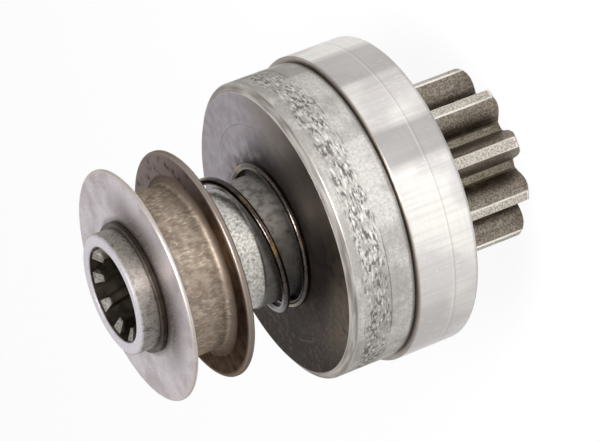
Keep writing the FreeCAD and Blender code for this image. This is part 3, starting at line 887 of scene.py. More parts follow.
def outline(corners: Sequence[Corner], arc_steps: int = 6) -> np.ndarray:
    """Work out a closed outline in the plane of the axis.

    Args:
        corners: its corners, anticlockwise with the radius to the right.
        arc_steps: steps in each rounded corner.

    Returns:
        Radius and height of each point.
    """
    runs = []
    for index, corner in enumerate(corners):
        here = np.array([corner.radius, corner.height])
        if corner.rounding <= 0:
            runs.append([here])
            continue
        before = corners[index - 1]
        after = corners[(index + 1) % len(corners)]
        back = np.array([before.radius, before.height]) - here
        ahead = np.array([after.radius, after.height]) - here
        back /= np.linalg.norm(back)
        ahead /= np.linalg.norm(ahead)
        half = math.acos(float(np.clip(back @ ahead, -1, 1))) / 2
        inward = (back + ahead) / np.linalg.norm(back + ahead)
        centre = here + inward * corner.rounding / math.sin(half)
        start = here + back * corner.rounding / math.tan(half) - centre
        end = here + ahead * corner.rounding / math.tan(half) - centre
        sweep = math.pi - 2 * half
        arc = []
        for step in range(arc_steps + 1):
            share = step / arc_steps
            first = math.sin((1 - share) * sweep) / math.sin(sweep)
            second = math.sin(share * sweep) / math.sin(sweep)
            arc.append(centre + start * first + end * second)
        runs.append(arc)
    points = []
    for index, run in enumerate(runs):
        points.extend(run)
        onward = runs[(index + 1) % len(runs)][0]
        gap = onward - run[-1]
        pieces = max(1, math.ceil(float(np.linalg.norm(gap)) / corners[index].spacing - 1e-6))
        points.extend(run[-1] + gap * step / pieces for step in range(1, pieces))
    return np.array(points)


def piece(
    name: str,
    points: np.ndarray,
    faces: Sequence[Sequence[int]],
    crease: float = CREASE,
) -> bpy.types.Object:
    """Make a mesh object.

    Args:
        name: its name.
        points: its points in millimetres.
        faces: point numbers of each face.
        crease: angle in degrees above which an edge stays sharp.

    Returns:
        The object, linked to the scene.
    """
    mesh = bpy.data.meshes.new(name)
    mesh.from_pydata((points * MM).tolist(), [], faces)
    mesh.shade_smooth()
    mesh.set_sharp_from_angle(angle=math.radians(crease))
    made = bpy.data.objects.new(name, mesh)
    bpy.context.scene.collection.objects.link(made)
    return made


def grid_faces(rows: int, columns: int) -> list[tuple[int, int, int, int]]:
    """Faces of a grid that closes on itself both ways.

    Args:
        rows: points along the outline.
        columns: points round the axis.

    Returns:
        Point numbers of each face, with its outer side out.
    """
    index = np.arange(rows * columns).reshape(rows, columns)
    across = np.roll(index, -1, axis=1)
    upward = np.roll(index, -1, axis=0)
    both = np.roll(across, -1, axis=0)
    return np.stack([index, across, both, upward], axis=-1).reshape(-1, 4).tolist()


def tube_faces(rings: int, sides: int, first: int = 0) -> list[list[int]]:
    """Faces of a capped tube of point rings.

    Args:
        rings: number of rings.
        sides: points in each ring.
        first: number of the tube's first point.

    Returns:
        Point numbers of each face, with its outer side out.
    """
    last = first + (rings - 1) * sides
    faces = [[first + side for side in reversed(range(sides))], [last + side for side in range(sides)]]
    for row in range(first, last, sides):
        for side in range(sides):
            onward = (side + 1) % sides
            faces.append([row + side, row + onward, row + sides + onward, row + sides + side])
    return faces


def lathe(
    name: str,
    corners: Sequence[Corner],
    columns: int,
    relief: ReliefField | None = None,
) -> bpy.types.Object:
    """Turn an outline into a closed mesh.

    Args:
        name: the object's name.
        corners: corners of its outline.
        columns: points round the axis.
        relief: offset outwards at a radius, angle and height.

    Returns:
        The object.
    """
    points = outline(corners)
    along = np.roll(points, -1, axis=0) - np.roll(points, 1, axis=0)
    outward = np.stack([along[:, 1], -along[:, 0]], axis=1)
    outward /= np.linalg.norm(outward, axis=1, keepdims=True)
    angle = np.tile(np.arange(columns) / columns * FULL_TURN, (len(points), 1))
    radius = np.repeat(points[:, :1], columns, axis=1)
    height = np.repeat(points[:, 1:], columns, axis=1)
    if relief is not None:
        offset = relief(radius, angle, height)
        radius = radius + offset * outward[:, :1]
        height = height + offset * outward[:, 1:]
    grid = np.stack([radius * np.cos(angle), radius * np.sin(angle), height], axis=-1)
    return piece(name, grid.reshape(-1, 3), grid_faces(len(points), columns))


def dress(made: bpy.types.Object, finish: Finish) -> bpy.types.Object:
    """Give an object a finish in all its material slots.

    Args:
        made: the object.
        finish: its finish.

    Returns:
        The same object.
    """
    if not made.material_slots:
        made.data.materials.append(finish.material())
    for slot in made.material_slots:
        slot.material = finish.material()
    return made


def seat(made: bpy.types.Object, body: str, slot: str, *nodes: str) -> bpy.types.Object:
    """Make a piece stand for CAD nodes and move with a body.

    Args:
        made: the piece.
        body: the body it rides on.
        slot: not used.
        nodes: the nodes it stands for.

    Returns:
        The same piece.
    """
    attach(made, body)
    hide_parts(*nodes)
    log.info("%s stands for %s on body %s", made.name, ", ".join(nodes), body)
    return made


@dataclass(frozen=True)
class Extent:
    """Reach of a round piece on the axis, in millimetres."""

    radius: float
    bottom: float
    top: float

    @classmethod
    def of(cls, node: str) -> "Extent":
        """Reach of a CAD node."""
        low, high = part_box(node)
        return cls(radius=high.x / MM, bottom=low.z / MM, top=high.z / MM)


# The drive's sub-assemblies


@dataclass
class Casing:
    """Drawn cup over the clutch, its rear edge rolled into the race's groove."""

    extent: Extent = field(default_factory=lambda: Extent.of("casing"))
    side_wall: float = 1.05
    front_wall: float = 1.1
    hole_radius: float = 16.9
    front_rounding: float = 1.2
    lip_rounding: float = 0.4
    lip_depth: float = 0.75
    lip_thickness: float = 0.9
    line_share: float = 0.41
    line_depth: float = 0.05
    line_width: float = 0.5
    columns: int = 720

    def line_height(self) -> float:
        """Height of the faint line round the casing."""
        return self.extent.bottom + self.line_share * (self.extent.top - self.extent.bottom)

    def relief(self, radius: np.ndarray, angle: np.ndarray, height: np.ndarray) -> np.ndarray:
        """Slight unevenness of the drawn wall, with the faint line.

        Args:
            radius: distance of each point from the axis.
            angle: its angle about the axis.
            height: its height along the axis.

        Returns:
            Offset outwards of each point.
        """
        outside = radius > self.extent.radius - self.lip_rounding
        waves = Swell(seed=101, around=26, cell=3.0, depth=0.018)
        ripple = Swell(seed=102, around=90, cell=1.2, depth=0.006)
        uneven = waves.at(angle, height) + ripple.at(angle, height)
        line = np.clip(1 - np.abs(height - self.line_height()) / self.line_width, 0, 1) ** 2
        inward = np.minimum(uneven - waves.depth - ripple.depth, 0)
        return np.where(outside, inward - self.line_depth * line, 0)

    def build(self) -> None:
        """Make the casing and dress it."""
        reach = self.extent
        bore = reach.radius - self.side_wall
        lip_top = reach.top - self.lip_thickness
        made = lathe(
            "casing_shell",
            [
                Corner(self.hole_radius, reach.bottom, 0.15, 2.0),
                Corner(reach.radius, reach.bottom, self.front_rounding, FINE),
                Corner(reach.radius, reach.top, self.lip_rounding, FINE),
                Corner(bore - self.lip_depth, reach.top, 0.15, FINE),
                Corner(bore - self.lip_depth, lip_top, 0.0, FINE),
                Corner(bore, lip_top, 0.0, 3.0),
                Corner(bore, reach.bottom + self.front_wall, 0.0, 4.0),
                Corner(self.hole_radius, reach.bottom + self.front_wall),
            ],
            self.columns,
            self.relief,
        )
        finish = SatinCasing("satin_casing", reach.bottom, reach.top, self.line_height())
        seat(dress(made, finish), "drive", "casing_steel", "casing")


@dataclass
class OuterRace:
    """Outer race of the clutch, with its roller pockets and plunger holes."""

    extent: Extent = field(default_factory=lambda: Extent.of("outer_race"))
    roller: Extent = field(default_factory=lambda: Extent.of("roller_1"))
    casing: Extent = field(default_factory=lambda: Extent.of("casing"))
    bore_radius: float = 17.2
    seat_radius: float = 12.87
    cavity_depth: float = 14.55
    bevel_width: float = 1.65
    bevel_height: float = 1.1
    groove_depth: float = 0.72
    groove_gap: float = 0.22
    groove_width: float = 1.3
    roller_count: int = 4
    roller_phase: float = 25.0
    roller_radius: float = 4.25
    roller_orbit: float = 20.8
    roller_clearance: float = 0.05
    pocket_wedge_angle: float = 6.0
    pocket_rear: float = -6.6
    pocket_front: float = 5.35
    pocket_height: float = 11.6
    plunger_height: float = 4.25
    hole_radius: float = 2.5
    hole_overlap: float = 0.8
    band_bottom_share: float = 0.63
    band_top_share: float = 0.86
    pits_before: float = 0.6
    pits_after: float = 0.5
    columns: int = 900

    def band(self) -> tuple[float, float]:
        """Work out where the side is pitted.

        Returns:
            Heights at which the pitted band starts and ends.
        """
        length = self.extent.top - self.extent.bottom
        return (
            self.extent.bottom + self.band_bottom_share * length,
            self.extent.bottom + self.band_top_share * length,
        )

    def relief(self, radius: np.ndarray, angle: np.ndarray, height: np.ndarray) -> np.ndarray:
        """Pits and scores on the side, nicks along the bevel.

        Args:
            radius: distance of each point from the axis.
            angle: its angle about the axis.
            height: its height along the axis.

        Returns:
            Offset outwards of each point.
        """
        low, high = self.band()
        side = radius > self.extent.radius - self.bevel_width
        pits = Dents(
            seed=201,
            count=1300,
            bottom=low - self.pits_before,
            top=high + self.pits_after,
            smallest=0.25,
            largest=0.6,
            depth=0.09,
        )
        scars = Dents(
            seed=202,
            count=260,
            bottom=low - 3.5,
            top=high + 1.6,
            smallest=0.2,
            largest=0.45,
            depth=0.05,
        )
        waves = Swell(seed=203, around=40, cell=2.5, depth=0.012)
        dented = pits.at(radius, angle, height) + scars.at(radius, angle, height)
        return np.where(side, dented + waves.at(angle, height) - waves.depth, 0)

    def pocket_placement(self, index: int) -> Matrix:
        """Place one pocket: X along the push on its roller, Y outwards, Z along the axis.

        Args:
            index: the pocket's number, from 0.

        Returns:
            The placement.
        """
        angle = math.radians(self.roller_phase + index * 360 / self.roller_count)
        centre = Vector((math.cos(angle), math.sin(angle), 0)) * self.roller_orbit
        return Matrix.Translation(centre) @ Matrix.Rotation(angle - math.pi / 2, 4, "Z")

    def prisms(self, name: str, rings: Sequence[Sequence[Vector]]) -> bpy.types.Object:
        """Make one closed prism at each pocket, as one mesh.

        Args:
            name: the object's name.
            rings: the prism's two end rings, in a pocket's own placement.

        Returns:
            The object.
        """
        points = []
        faces = []
        for index in range(self.roller_count):
            placement = self.pocket_placement(index)
            faces.extend(tube_faces(len(rings), len(rings[0]), len(points)))
            points.extend(list(placement @ spot) for ring in rings for spot in ring)
        return piece(name, np.array(points), faces)

    def pocket_cutters(self) -> bpy.types.Object:
        """Make the four wedge-shaped pockets.

        Returns:
            One object that holds them all.
        """
        slope = math.tan(math.radians(self.pocket_wedge_angle))
        ramp = self.roller_radius + self.roller_clearance
        plan = [
            (self.pocket_rear, -self.roller_orbit),
            (self.pocket_front, -self.roller_orbit),
            (self.pocket_front, ramp - slope * self.pocket_front),
            (self.pocket_rear, ramp - slope * self.pocket_rear),
        ]
        levels = (self.extent.bottom - 1, self.extent.bottom + self.pocket_height)
        return self.prisms("pocket_cutters", [[Vector((x, y, z)) for x, y in plan] for z in levels])

    def hole_cutters(self, sides: int = 32) -> bpy.types.Object:
        """Make the four plunger holes.

        Args:
            sides: points round each hole.

        Returns:
            One object that holds them all.
        """
        level = self.extent.bottom + self.plunger_height
        turns = [FULL_TURN * side / sides for side in range(sides)]
        circle = [(self.hole_radius * math.cos(turn), self.hole_radius * math.sin(turn)) for turn in turns]
        ends = (-self.extent.radius, self.pocket_rear + self.hole_overlap)
        return self.prisms("hole_cutters", [[Vector((x, y, level + z)) for y, z in circle] for x in ends])

    def carve(self, body: bpy.types.Object) -> None:
        """Cut the pockets and the plunger holes into the turned body.

        Args:
            body: the turned body, whose mesh is changed.
        """
        cutters = (self.pocket_cutters(), self.hole_cutters())
        for cutter in cutters:
            modifier = body.modifiers.new(cutter.name, "BOOLEAN")
            modifier.object = cutter
            modifier.operation = "DIFFERENCE"
            modifier.solver = "EXACT"
        bpy.context.view_layer.update()
        finished = body.evaluated_get(bpy.context.evaluated_depsgraph_get())
        carved = bpy.data.meshes.new_from_object(finished)
        body.modifiers.clear()
        body.data = carved
        carved.set_sharp_from_angle(angle=math.radians(CREASE))
        for cutter in cutters:
            bpy.data.objects.remove(cutter)

    def build(self) -> None:
        """Turn the race, carve it and dress it."""
        reach = self.extent
        low, high = self.band()
        groove_top = self.casing.top + self.groove_gap
        groove_bottom = groove_top - self.groove_width
        groove_radius = reach.radius - self.groove_depth
        cavity = reach.bottom + self.cavity_depth
        bevel_radius = reach.radius - self.bevel_width
        made = lathe(
            "race_body",
            [
                Corner(reach.radius - 0.4, reach.bottom, 0.0, 1.0),
                Corner(reach.radius, reach.bottom + 0.4, 0.0, 3.0),
                Corner(reach.radius, groove_bottom, 0.0, 1.0),
                Corner(groove_radius, groove_bottom, 0.0, 1.0),
                Corner(groove_radius, groove_top, 0.0, 1.0),
                Corner(reach.radius, groove_top, 0.12, 0.6),
                Corner(reach.radius, low - self.pits_before, 0.0, 0.17),
                Corner(reach.radius, high + self.pits_after, 0.0, 0.3),
                Corner(reach.radius, reach.top - self.bevel_height, 0.25, 0.5),
                Corner(bevel_radius, reach.top, 0.2, 1.6),
                Corner(self.seat_radius, reach.top, 0.0, 3.0),
                Corner(self.seat_radius, cavity, 0.0, 3.0),
                Corner(self.bore_radius, cavity, 0.0, 4.0),
                Corner(self.bore_radius, reach.bottom, 0.0, 5.0),
            ],
            self.columns,
            self.relief,
        )
        self.carve(made)
        finish = PittedRace(
            "pitted_race",
            radius=reach.radius,
            top=reach.top,
            bevel_width=self.bevel_width,
            bevel_height=self.bevel_height,
            bore=self.seat_radius,
            band_bottom=low,
            band_top=high,
        )
        seat(dress(made, finish), "drive", "race_steel", "outer_race")


@dataclass
class Spool:
    """Two-flange spool: a pressed cup with a flange, and a flat disc."""

    cup: Extent = field(default_factory=lambda: Extent.of("spool_cup"))
    disc: Extent = field(default_factory=lambda: Extent.of("spool_disc"))
    bore_radius: float = 12.66
    lip_clearance: float = 0.3
    sheet: float = 1.5
    drum_radius: float = 17.3
    flange_rounding: float = 0.6
    fillet: float = 1.5
    shoulder: float = 1.0
    disc_rounding: float = 0.5
    countersink: float = 0.8
    countersink_depth: float = 0.4
    pit_angle: float = 212.0
    pit_place: float = 21.0
    pit_size: float = 0.3
    pit_depth: float = 0.12
    columns: int = 600

    def cup_relief(self, radius: np.ndarray, angle: np.ndarray, height: np.ndarray) -> np.ndarray:
        """Unevenness of the pressed drum, held inside its true size.

        Args:
            radius: not used.
            angle: its angle about the axis.
            height: its height along the axis.

        Returns:
            Offset outwards of each point.
        """
        waves = Swell(seed=301, around=18, cell=4.0, depth=0.03)
        ripple = Swell(seed=302, around=120, cell=0.7, depth=0.012)
        shape = waves.at(angle, height) + ripple.at(angle, height)
        return np.minimum(shape - waves.depth, 0)

    def disc_relief(self, radius: np.ndarray, angle: np.ndarray, height: np.ndarray) -> np.ndarray:
        """Unevenness of the stamped disc, with one small pit on its face.

        Args:
            radius: distance of each point from the axis.
            angle: its angle about the axis.
            height: its height along the axis.

        Returns:
            Offset outwards of each point.
        """
        waves = Swell(seed=303, around=14, cell=3.0, depth=0.02)
        turn = (angle - math.radians(self.pit_angle) + math.pi) % FULL_TURN - math.pi
        near = (turn * radius / self.pit_size) ** 2 + ((radius - self.pit_place) / self.pit_size) ** 2
        pit = self.pit_depth * np.clip(1 - near, 0, 1) * (height > self.disc.top - 0.01)
        return np.minimum(waves.at(angle, radius) - waves.depth, 0) - pit

    def build(self) -> None:
        """Make the cup and the disc, and dress them."""
        cup = self.cup
        inner = self.drum_radius - self.sheet
        flange_top = cup.bottom + self.sheet
        cup_made = lathe(
            "spool_cup_body",
            [
                Corner(inner, cup.bottom, self.fillet + self.sheet, 1.5),
                Corner(cup.radius, cup.bottom, self.flange_rounding, 0.5),
                Corner(cup.radius, flange_top, self.flange_rounding, 0.5),
                Corner(self.drum_radius, flange_top, self.fillet, 0.35),
                Corner(self.drum_radius, cup.top, self.shoulder, 1.0),
                Corner(self.bore_radius + self.lip_clearance, cup.top, 0.0, 1.5),
                Corner(self.bore_radius + self.lip_clearance, cup.top - self.sheet, 0.0, 1.5),
                Corner(inner, cup.top - self.sheet, 0.0, 1.5),
            ],
            self.columns,
            self.cup_relief,
        )
        finish = BronzedCup("bronzed_cup", self.drum_radius, cup.radius)
        seat(dress(cup_made, finish), "spool", "cup_steel", "spool_cup")
        disc = self.disc
        disc_made = lathe(
            "spool_disc_body",
            [
                Corner(self.bore_radius, disc.bottom, 0.0, 1.0),
                Corner(disc.radius, disc.bottom, self.disc_rounding, 0.5),
                Corner(disc.radius, disc.top, self.disc_rounding, 0.3),
                Corner(self.bore_radius + self.countersink, disc.top, 0.0, 0.5),
                Corner(self.bore_radius, disc.top - self.countersink_depth, 0.0, 0.5),
            ],
            self.columns,
            self.disc_relief,
        )
        disc_finish = SatinDisc("satin_disc", disc.radius)
        seat(dress(disc_made, disc_finish), "spool", "disc_steel", "spool_disc")


@dataclass
class CoilSpring:
    """Round-wire compression spring along a straight line."""

    name: str
    node: str
    body: str
    joint: str
    base: Vector
    axis: Vector
    side: Vector
    coil_radius: float
    wire_radius: float
    low: float
    high: float
    pitch: float
    closed_turns: float
    liftoff: float
    kept_share: float
    easing: float = 0.06
    steps: int = 64
    sides: int = 18

    def centres(self) -> tuple[np.ndarray, np.ndarray]:
        """Lay the wire's centre line, closed at both ends and open between.

        Returns:
            The points of the line and the direction outwards at each.
        """
        open_turns = (self.high - self.low) / self.pitch
        turns = open_turns + 2 * self.closed_turns
        count = int(turns * self.steps) + 1
        travelled = np.linspace(-self.closed_turns, open_turns + self.closed_turns, count)
        share = travelled / open_turns
        start = np.sqrt(share ** 2 + self.easing ** 2)
        end = np.sqrt((share - 1) ** 2 + self.easing ** 2)
        eased = 0.5 * (start - end + 1)
        rise = np.clip((eased - eased[0]) / (eased[-1] - eased[0]), 0, 1)
        turn = math.radians(self.liftoff) + travelled * FULL_TURN
        across = self.axis.cross(self.side)
        outward = np.outer(np.cos(turn), self.side) + np.outer(np.sin(turn), across)
        along = np.outer(self.low + (self.high - self.low) * rise, self.axis)
        return np.array(self.base) + along + outward * self.coil_radius, outward

    def build(self, finish: Finish) -> None:
        """Make the wire and dress it.

        Args:
            finish: the wire's finish.
        """
        line, outward = self.centres()
        tangent = np.gradient(line, axis=0)
        tangent /= np.linalg.norm(tangent, axis=1, keepdims=True)
        sideways = np.cross(tangent, outward)
        rings = []
        for side in range(self.sides):
            turn = FULL_TURN * side / self.sides
            rings.append(line + self.wire_radius * (outward * math.cos(turn) + sideways * math.sin(turn)))
        grid = np.stack(rings, axis=1)
        faces = tube_faces(len(line), self.sides)
        made = piece(self.name, grid.reshape(-1, 3), faces)
        seat(dress(made, finish), self.body, "spring_steel", self.node)
        anchor = (self.base + self.axis * (self.low - self.wire_radius)) * MM
        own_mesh(made)


@dataclass
class Pinion:
    """Ten-tooth pinion with its hub, the clutch's inner race."""

    extent: Extent = field(default_factory=lambda: Extent.of("pinion"))
    module: float = 3.0
    teeth: int = 10
    pressure_angle: float = 20.0
    profile_shift: float = 0.48
    tip_height: float = 3.849
    root_depth: float = 2.199
    root_land_angle: float = 7.0
    phase: float = 17.2
    tooth_length: float = 20.4
    end_cut_depth: float = 1.7
    end_cut_reach: float = 3.0
    rear_end_ease: float = 2.0
    edge_softness: float = 0.3
    bore_radius: float = 8.52
    bore_chamfer: float = 0.5
    neck_radius: float = 15.9
    race_radius: float = 16.5
    race_chamfer: float = 0.6
    rough_from: float = 12.0
    groove_radius: float = 14.2
    groove_bottom: float = 22.35
    groove_top: float = 25.15
    front_land: float = 1.8
    bore_rows: int = 12
    tooth_rows: int = 26
    flank_steps: int = 16

    def half_angle(self, radius: float) -> float:
        """Half the angular thickness of a tooth.

        Args:
            radius: radius at which it is measured.

        Returns:
            The half thickness in radians.
        """
        pressure = math.radians(self.pressure_angle)
        pitch_radius = self.module * self.teeth / 2
        local = math.acos(min(1.0, pitch_radius * math.cos(pressure) / radius))
        at_pitch = (math.pi / 2 + 2 * self.profile_shift * math.tan(pressure)) / self.teeth
        return at_pitch + (math.tan(pressure) - pressure) - (math.tan(local) - local)

    def tooth_outline(self) -> list[Point]:
        """Draw one tooth.

        Returns:
            Angle and radius of its points, from the root before it to the root after it.
        """
        pitch_radius = self.module * self.teeth / 2
        root = self.root_radius()
        tip = self.tip_radius()
        base = pitch_radius * math.cos(math.radians(self.pressure_angle)) * 1.005
        half_pitch = math.pi / self.teeth
        root_half = half_pitch - math.radians(self.root_land_angle) / 2
        half = [(half_pitch * 0.999 - (half_pitch - root_half) * step / 3, root) for step in range(3)]
        half.append((root_half, root + 0.02))
        for step in range(self.flank_steps + 1):
            radius = base + (tip - self.edge_softness - base) * step / self.flank_steps
            half.append((self.half_angle(radius), radius))
        top_half = self.half_angle(tip)
        shoulder = self.half_angle(tip - self.edge_softness)
        for step in range(1, 5):
            turn = math.pi / 2 * step / 5
            half.append((
                shoulder - (shoulder - top_half * 0.55) * (1 - math.cos(turn)),
                tip - self.edge_softness * (1 - math.sin(turn)),
            ))
        half.append((top_half * 0.5, tip))
        rising = [(-angle, radius) for angle, radius in half]
        falling = [(angle, radius) for angle, radius in reversed(half)]
        return rising + [(0.0, tip)] + falling

    def section(self) -> np.ndarray:
        """Draw the toothed section, all round.

        Returns:
            Its points in the plane across the axis.
        """
        points = []
        for tooth in range(self.teeth):
            centre = math.radians(self.phase) + tooth * FULL_TURN / self.teeth
            for angle, radius in self.tooth_outline():
                points.append((radius * math.cos(centre + angle), radius * math.sin(centre + angle)))
        return np.array(points)

    def end_limit(self, height: float) -> float:
        """Largest radius that a rounded tooth end leaves.

        Args:
            height: distance from the end.

        Returns:
            The radius.
        """
        if height >= self.end_cut_depth:
            return self.tip_radius()
        share = height / self.end_cut_depth
        return self.tip_radius() - self.end_cut_reach * (1 - math.sqrt(1 - (1 - share) ** 2))

    def tip_radius(self) -> float:
        """Radius of the tooth tips."""
        return self.module * self.teeth / 2 + self.tip_height

    def root_radius(self) -> float:
        """Radius between the teeth."""
        return self.module * self.teeth / 2 - self.root_depth

    def ring_row(self, angle: np.ndarray, radius: float, height: float) -> np.ndarray:
        """Points of a round row.

        Args:
            angle: angle of each point.
            radius: the row's radius.
            height: the row's height.

        Returns:
            The points.
        """
        level = np.full_like(angle, height)
        return np.stack([radius * np.cos(angle), radius * np.sin(angle), level], axis=1)

    def tooth_row(
        self,
        section: np.ndarray,
        inward: np.ndarray,
        height: float,
        shrink: float,
    ) -> np.ndarray:
        """Points of a toothed row.

        Args:
            section: the toothed section.
            inward: direction inwards at each of its points.
            height: the row's height.
            shrink: how far the row is drawn inwards.

        Returns:
            The points.
        """
        plan = section + inward * shrink
        radius = np.hypot(plan[:, 0], plan[:, 1])
        rear_limit = self.end_limit(self.tooth_length - height) + self.rear_end_ease
        limit = min(self.end_limit(height), rear_limit)
        held = np.minimum(radius, limit - shrink)
        plan = plan * (held / radius)[:, None]
        return np.column_stack([plan, np.full_like(radius, height)])

    def rows(self) -> list[np.ndarray]:
        """Lay the rows from the top of the bore down it, over the teeth and up the hub.

        Returns:
            The points of each row.
        """
        section = self.section()
        along = np.roll(section, -1, axis=0) - np.roll(section, 1, axis=0)
        inward = np.stack([-along[:, 1], along[:, 0]], axis=1)
        inward /= np.linalg.norm(inward, axis=1, keepdims=True)
        angle = np.arctan2(section[:, 1], section[:, 0])
        top = self.extent.top
        mouth = self.bore_radius + self.bore_chamfer
        bore_levels = np.linspace(top - self.bore_chamfer, self.bore_chamfer, self.bore_rows)
        bore = [(self.bore_radius, height) for height in bore_levels]
        front_end = [(mouth, 0.0), (self.bore_radius + self.front_land, 0.0)]
        teeth = [(0.0, 0.28), (0.03, 0.14), (0.12, 0.04)]
        teeth += [(height, 0.0) for height in (0.28, 0.5, 0.8, 1.15, 1.6, 2.1)]
        plain_levels = np.linspace(2.7, self.tooth_length - 0.3, self.tooth_rows)
        teeth += [(height, 0.0) for height in plain_levels]
        teeth += [(self.tooth_length - 0.05, 0.05), (self.tooth_length, 0.2)]
        hub = [
            (self.neck_radius, self.tooth_length),
            (self.neck_radius, self.groove_bottom),
            (self.groove_radius, self.groove_bottom),
            (self.groove_radius, self.groove_top),
            (self.race_radius, self.groove_top),
            (self.race_radius, top - self.race_chamfer),
            (self.race_radius - self.race_chamfer, top),
            (mouth, top),
        ]
        rows = [self.ring_row(angle, radius, height) for radius, height in bore + front_end]
        rows += [self.tooth_row(section, inward, height, shrink) for height, shrink in teeth]
        rows += [self.ring_row(angle, radius, height) for radius, height in hub]
        return rows

    def build(self) -> None:
        """Make the pinion from its rows, roughen its teeth and dress it."""
        grid = np.stack(self.rows())
        flat = grid.reshape(-1, 3)
        outer = np.hypot(flat[:, 0], flat[:, 1])
        turn = np.arctan2(flat[:, 1], flat[:, 0])
        rough = Swell(seed=401, around=64, cell=1.1, depth=0.03)
        wobble = rough.at(turn, flat[:, 2] + outer * 0.7)
        in_teeth = (flat[:, 2] > 0.05) & (flat[:, 2] < self.tooth_length) & (outer > self.rough_from)
        inward = np.minimum(wobble - rough.depth / 2, 0)
        scale = 1 + np.where(in_teeth, inward, 0) / np.maximum(outer, 1)
        flat = flat * np.column_stack([scale, scale, np.ones_like(scale)])
        made = piece("pinion_body", flat, grid_faces(*grid.shape[:2]), TOOTH_CREASE)
        finish = RoughPinion("rough_pinion", self.tip_radius(), self.root_radius())
        seat(dress(made, finish), "pinion", "pinion_steel", "pinion")


@dataclass
class Insides:
    """CAD pieces that keep their own shape: sleeve, snap ring, washers, rollers and bushes."""

    nodes: dict[str, bpy.types.Object]
    sleeve: Extent = field(default_factory=lambda: Extent.of("splined_sleeve"))
    race: Extent = field(default_factory=lambda: Extent.of("outer_race"))
    cup: Extent = field(default_factory=lambda: Extent.of("spool_cup"))
    seat_projection: float = 9.1
    spline_inset: float = 0.7
    bore_radius: float = 9.94

    def build(self) -> None:
        """Dress every node that is still shown."""
        sleeve_finish = WornSleeve(
            "worn_sleeve",
            top=self.sleeve.top,
            bore=self.bore_radius,
            spline_end=self.sleeve.top - self.spline_inset,
            step=self.race.top + self.seat_projection,
            spool_bottom=self.cup.bottom,
        )
        ring_finish = PlainSteel("ring_steel", tone(78, 70, 63), tone(48, 42, 37), Grain.AROUND, 0.36)
        bronze = PlainSteel("sintered_bronze", tone(190, 142, 88), tone(120, 84, 48), Grain.EVEN, 0.36)
        washer = PlainSteel("washer_steel", tone(168, 164, 158), tone(104, 98, 92), Grain.AROUND, 0.3)
        ground = PlainSteel("ground_steel", tone(196, 194, 190), tone(140, 136, 130), Grain.AROUND, 0.18)
        chosen = {
            "splined_sleeve": sleeve_finish,
            "snap_ring": ring_finish,
            "pinion_front_bush": bronze,
            "pinion_rear_bush": bronze,
            "thrust_washer": washer,
            "roller_washer": washer,
            "lock_half_ring_1": washer,
            "lock_half_ring_2": washer,
        }
        for name, node in self.nodes.items():
            if node.hide_render:
                continue
            finish = chosen.get(name, ground)
            dress(node, finish)
            log.info("%s keeps its shape in %s", name, finish.name)


# Floor, light and camera


@dataclass
class Lamp:
    """Soft area lamp."""

    name: str
    place: tuple[float, float, float]
    target: tuple[float, float, float]
    size: float
    power: float
    spread: float = 180.0

    def build(self) -> None:
        """Add the lamp, aimed at its target."""
        data = bpy.data.lights.new(self.name, "AREA")
        data.shape = "DISK"
        data.size = self.size
        data.energy = self.power
        data.spread = math.radians(self.spread)
        made = bpy.data.objects.new(self.name, data)
        made.location = self.place
        aim = Vector(self.target) - Vector(self.place)
        made.rotation_euler = aim.to_track_quat("-Z", "Y").to_euler()
        bpy.context.scene.collection.objects.link(made)


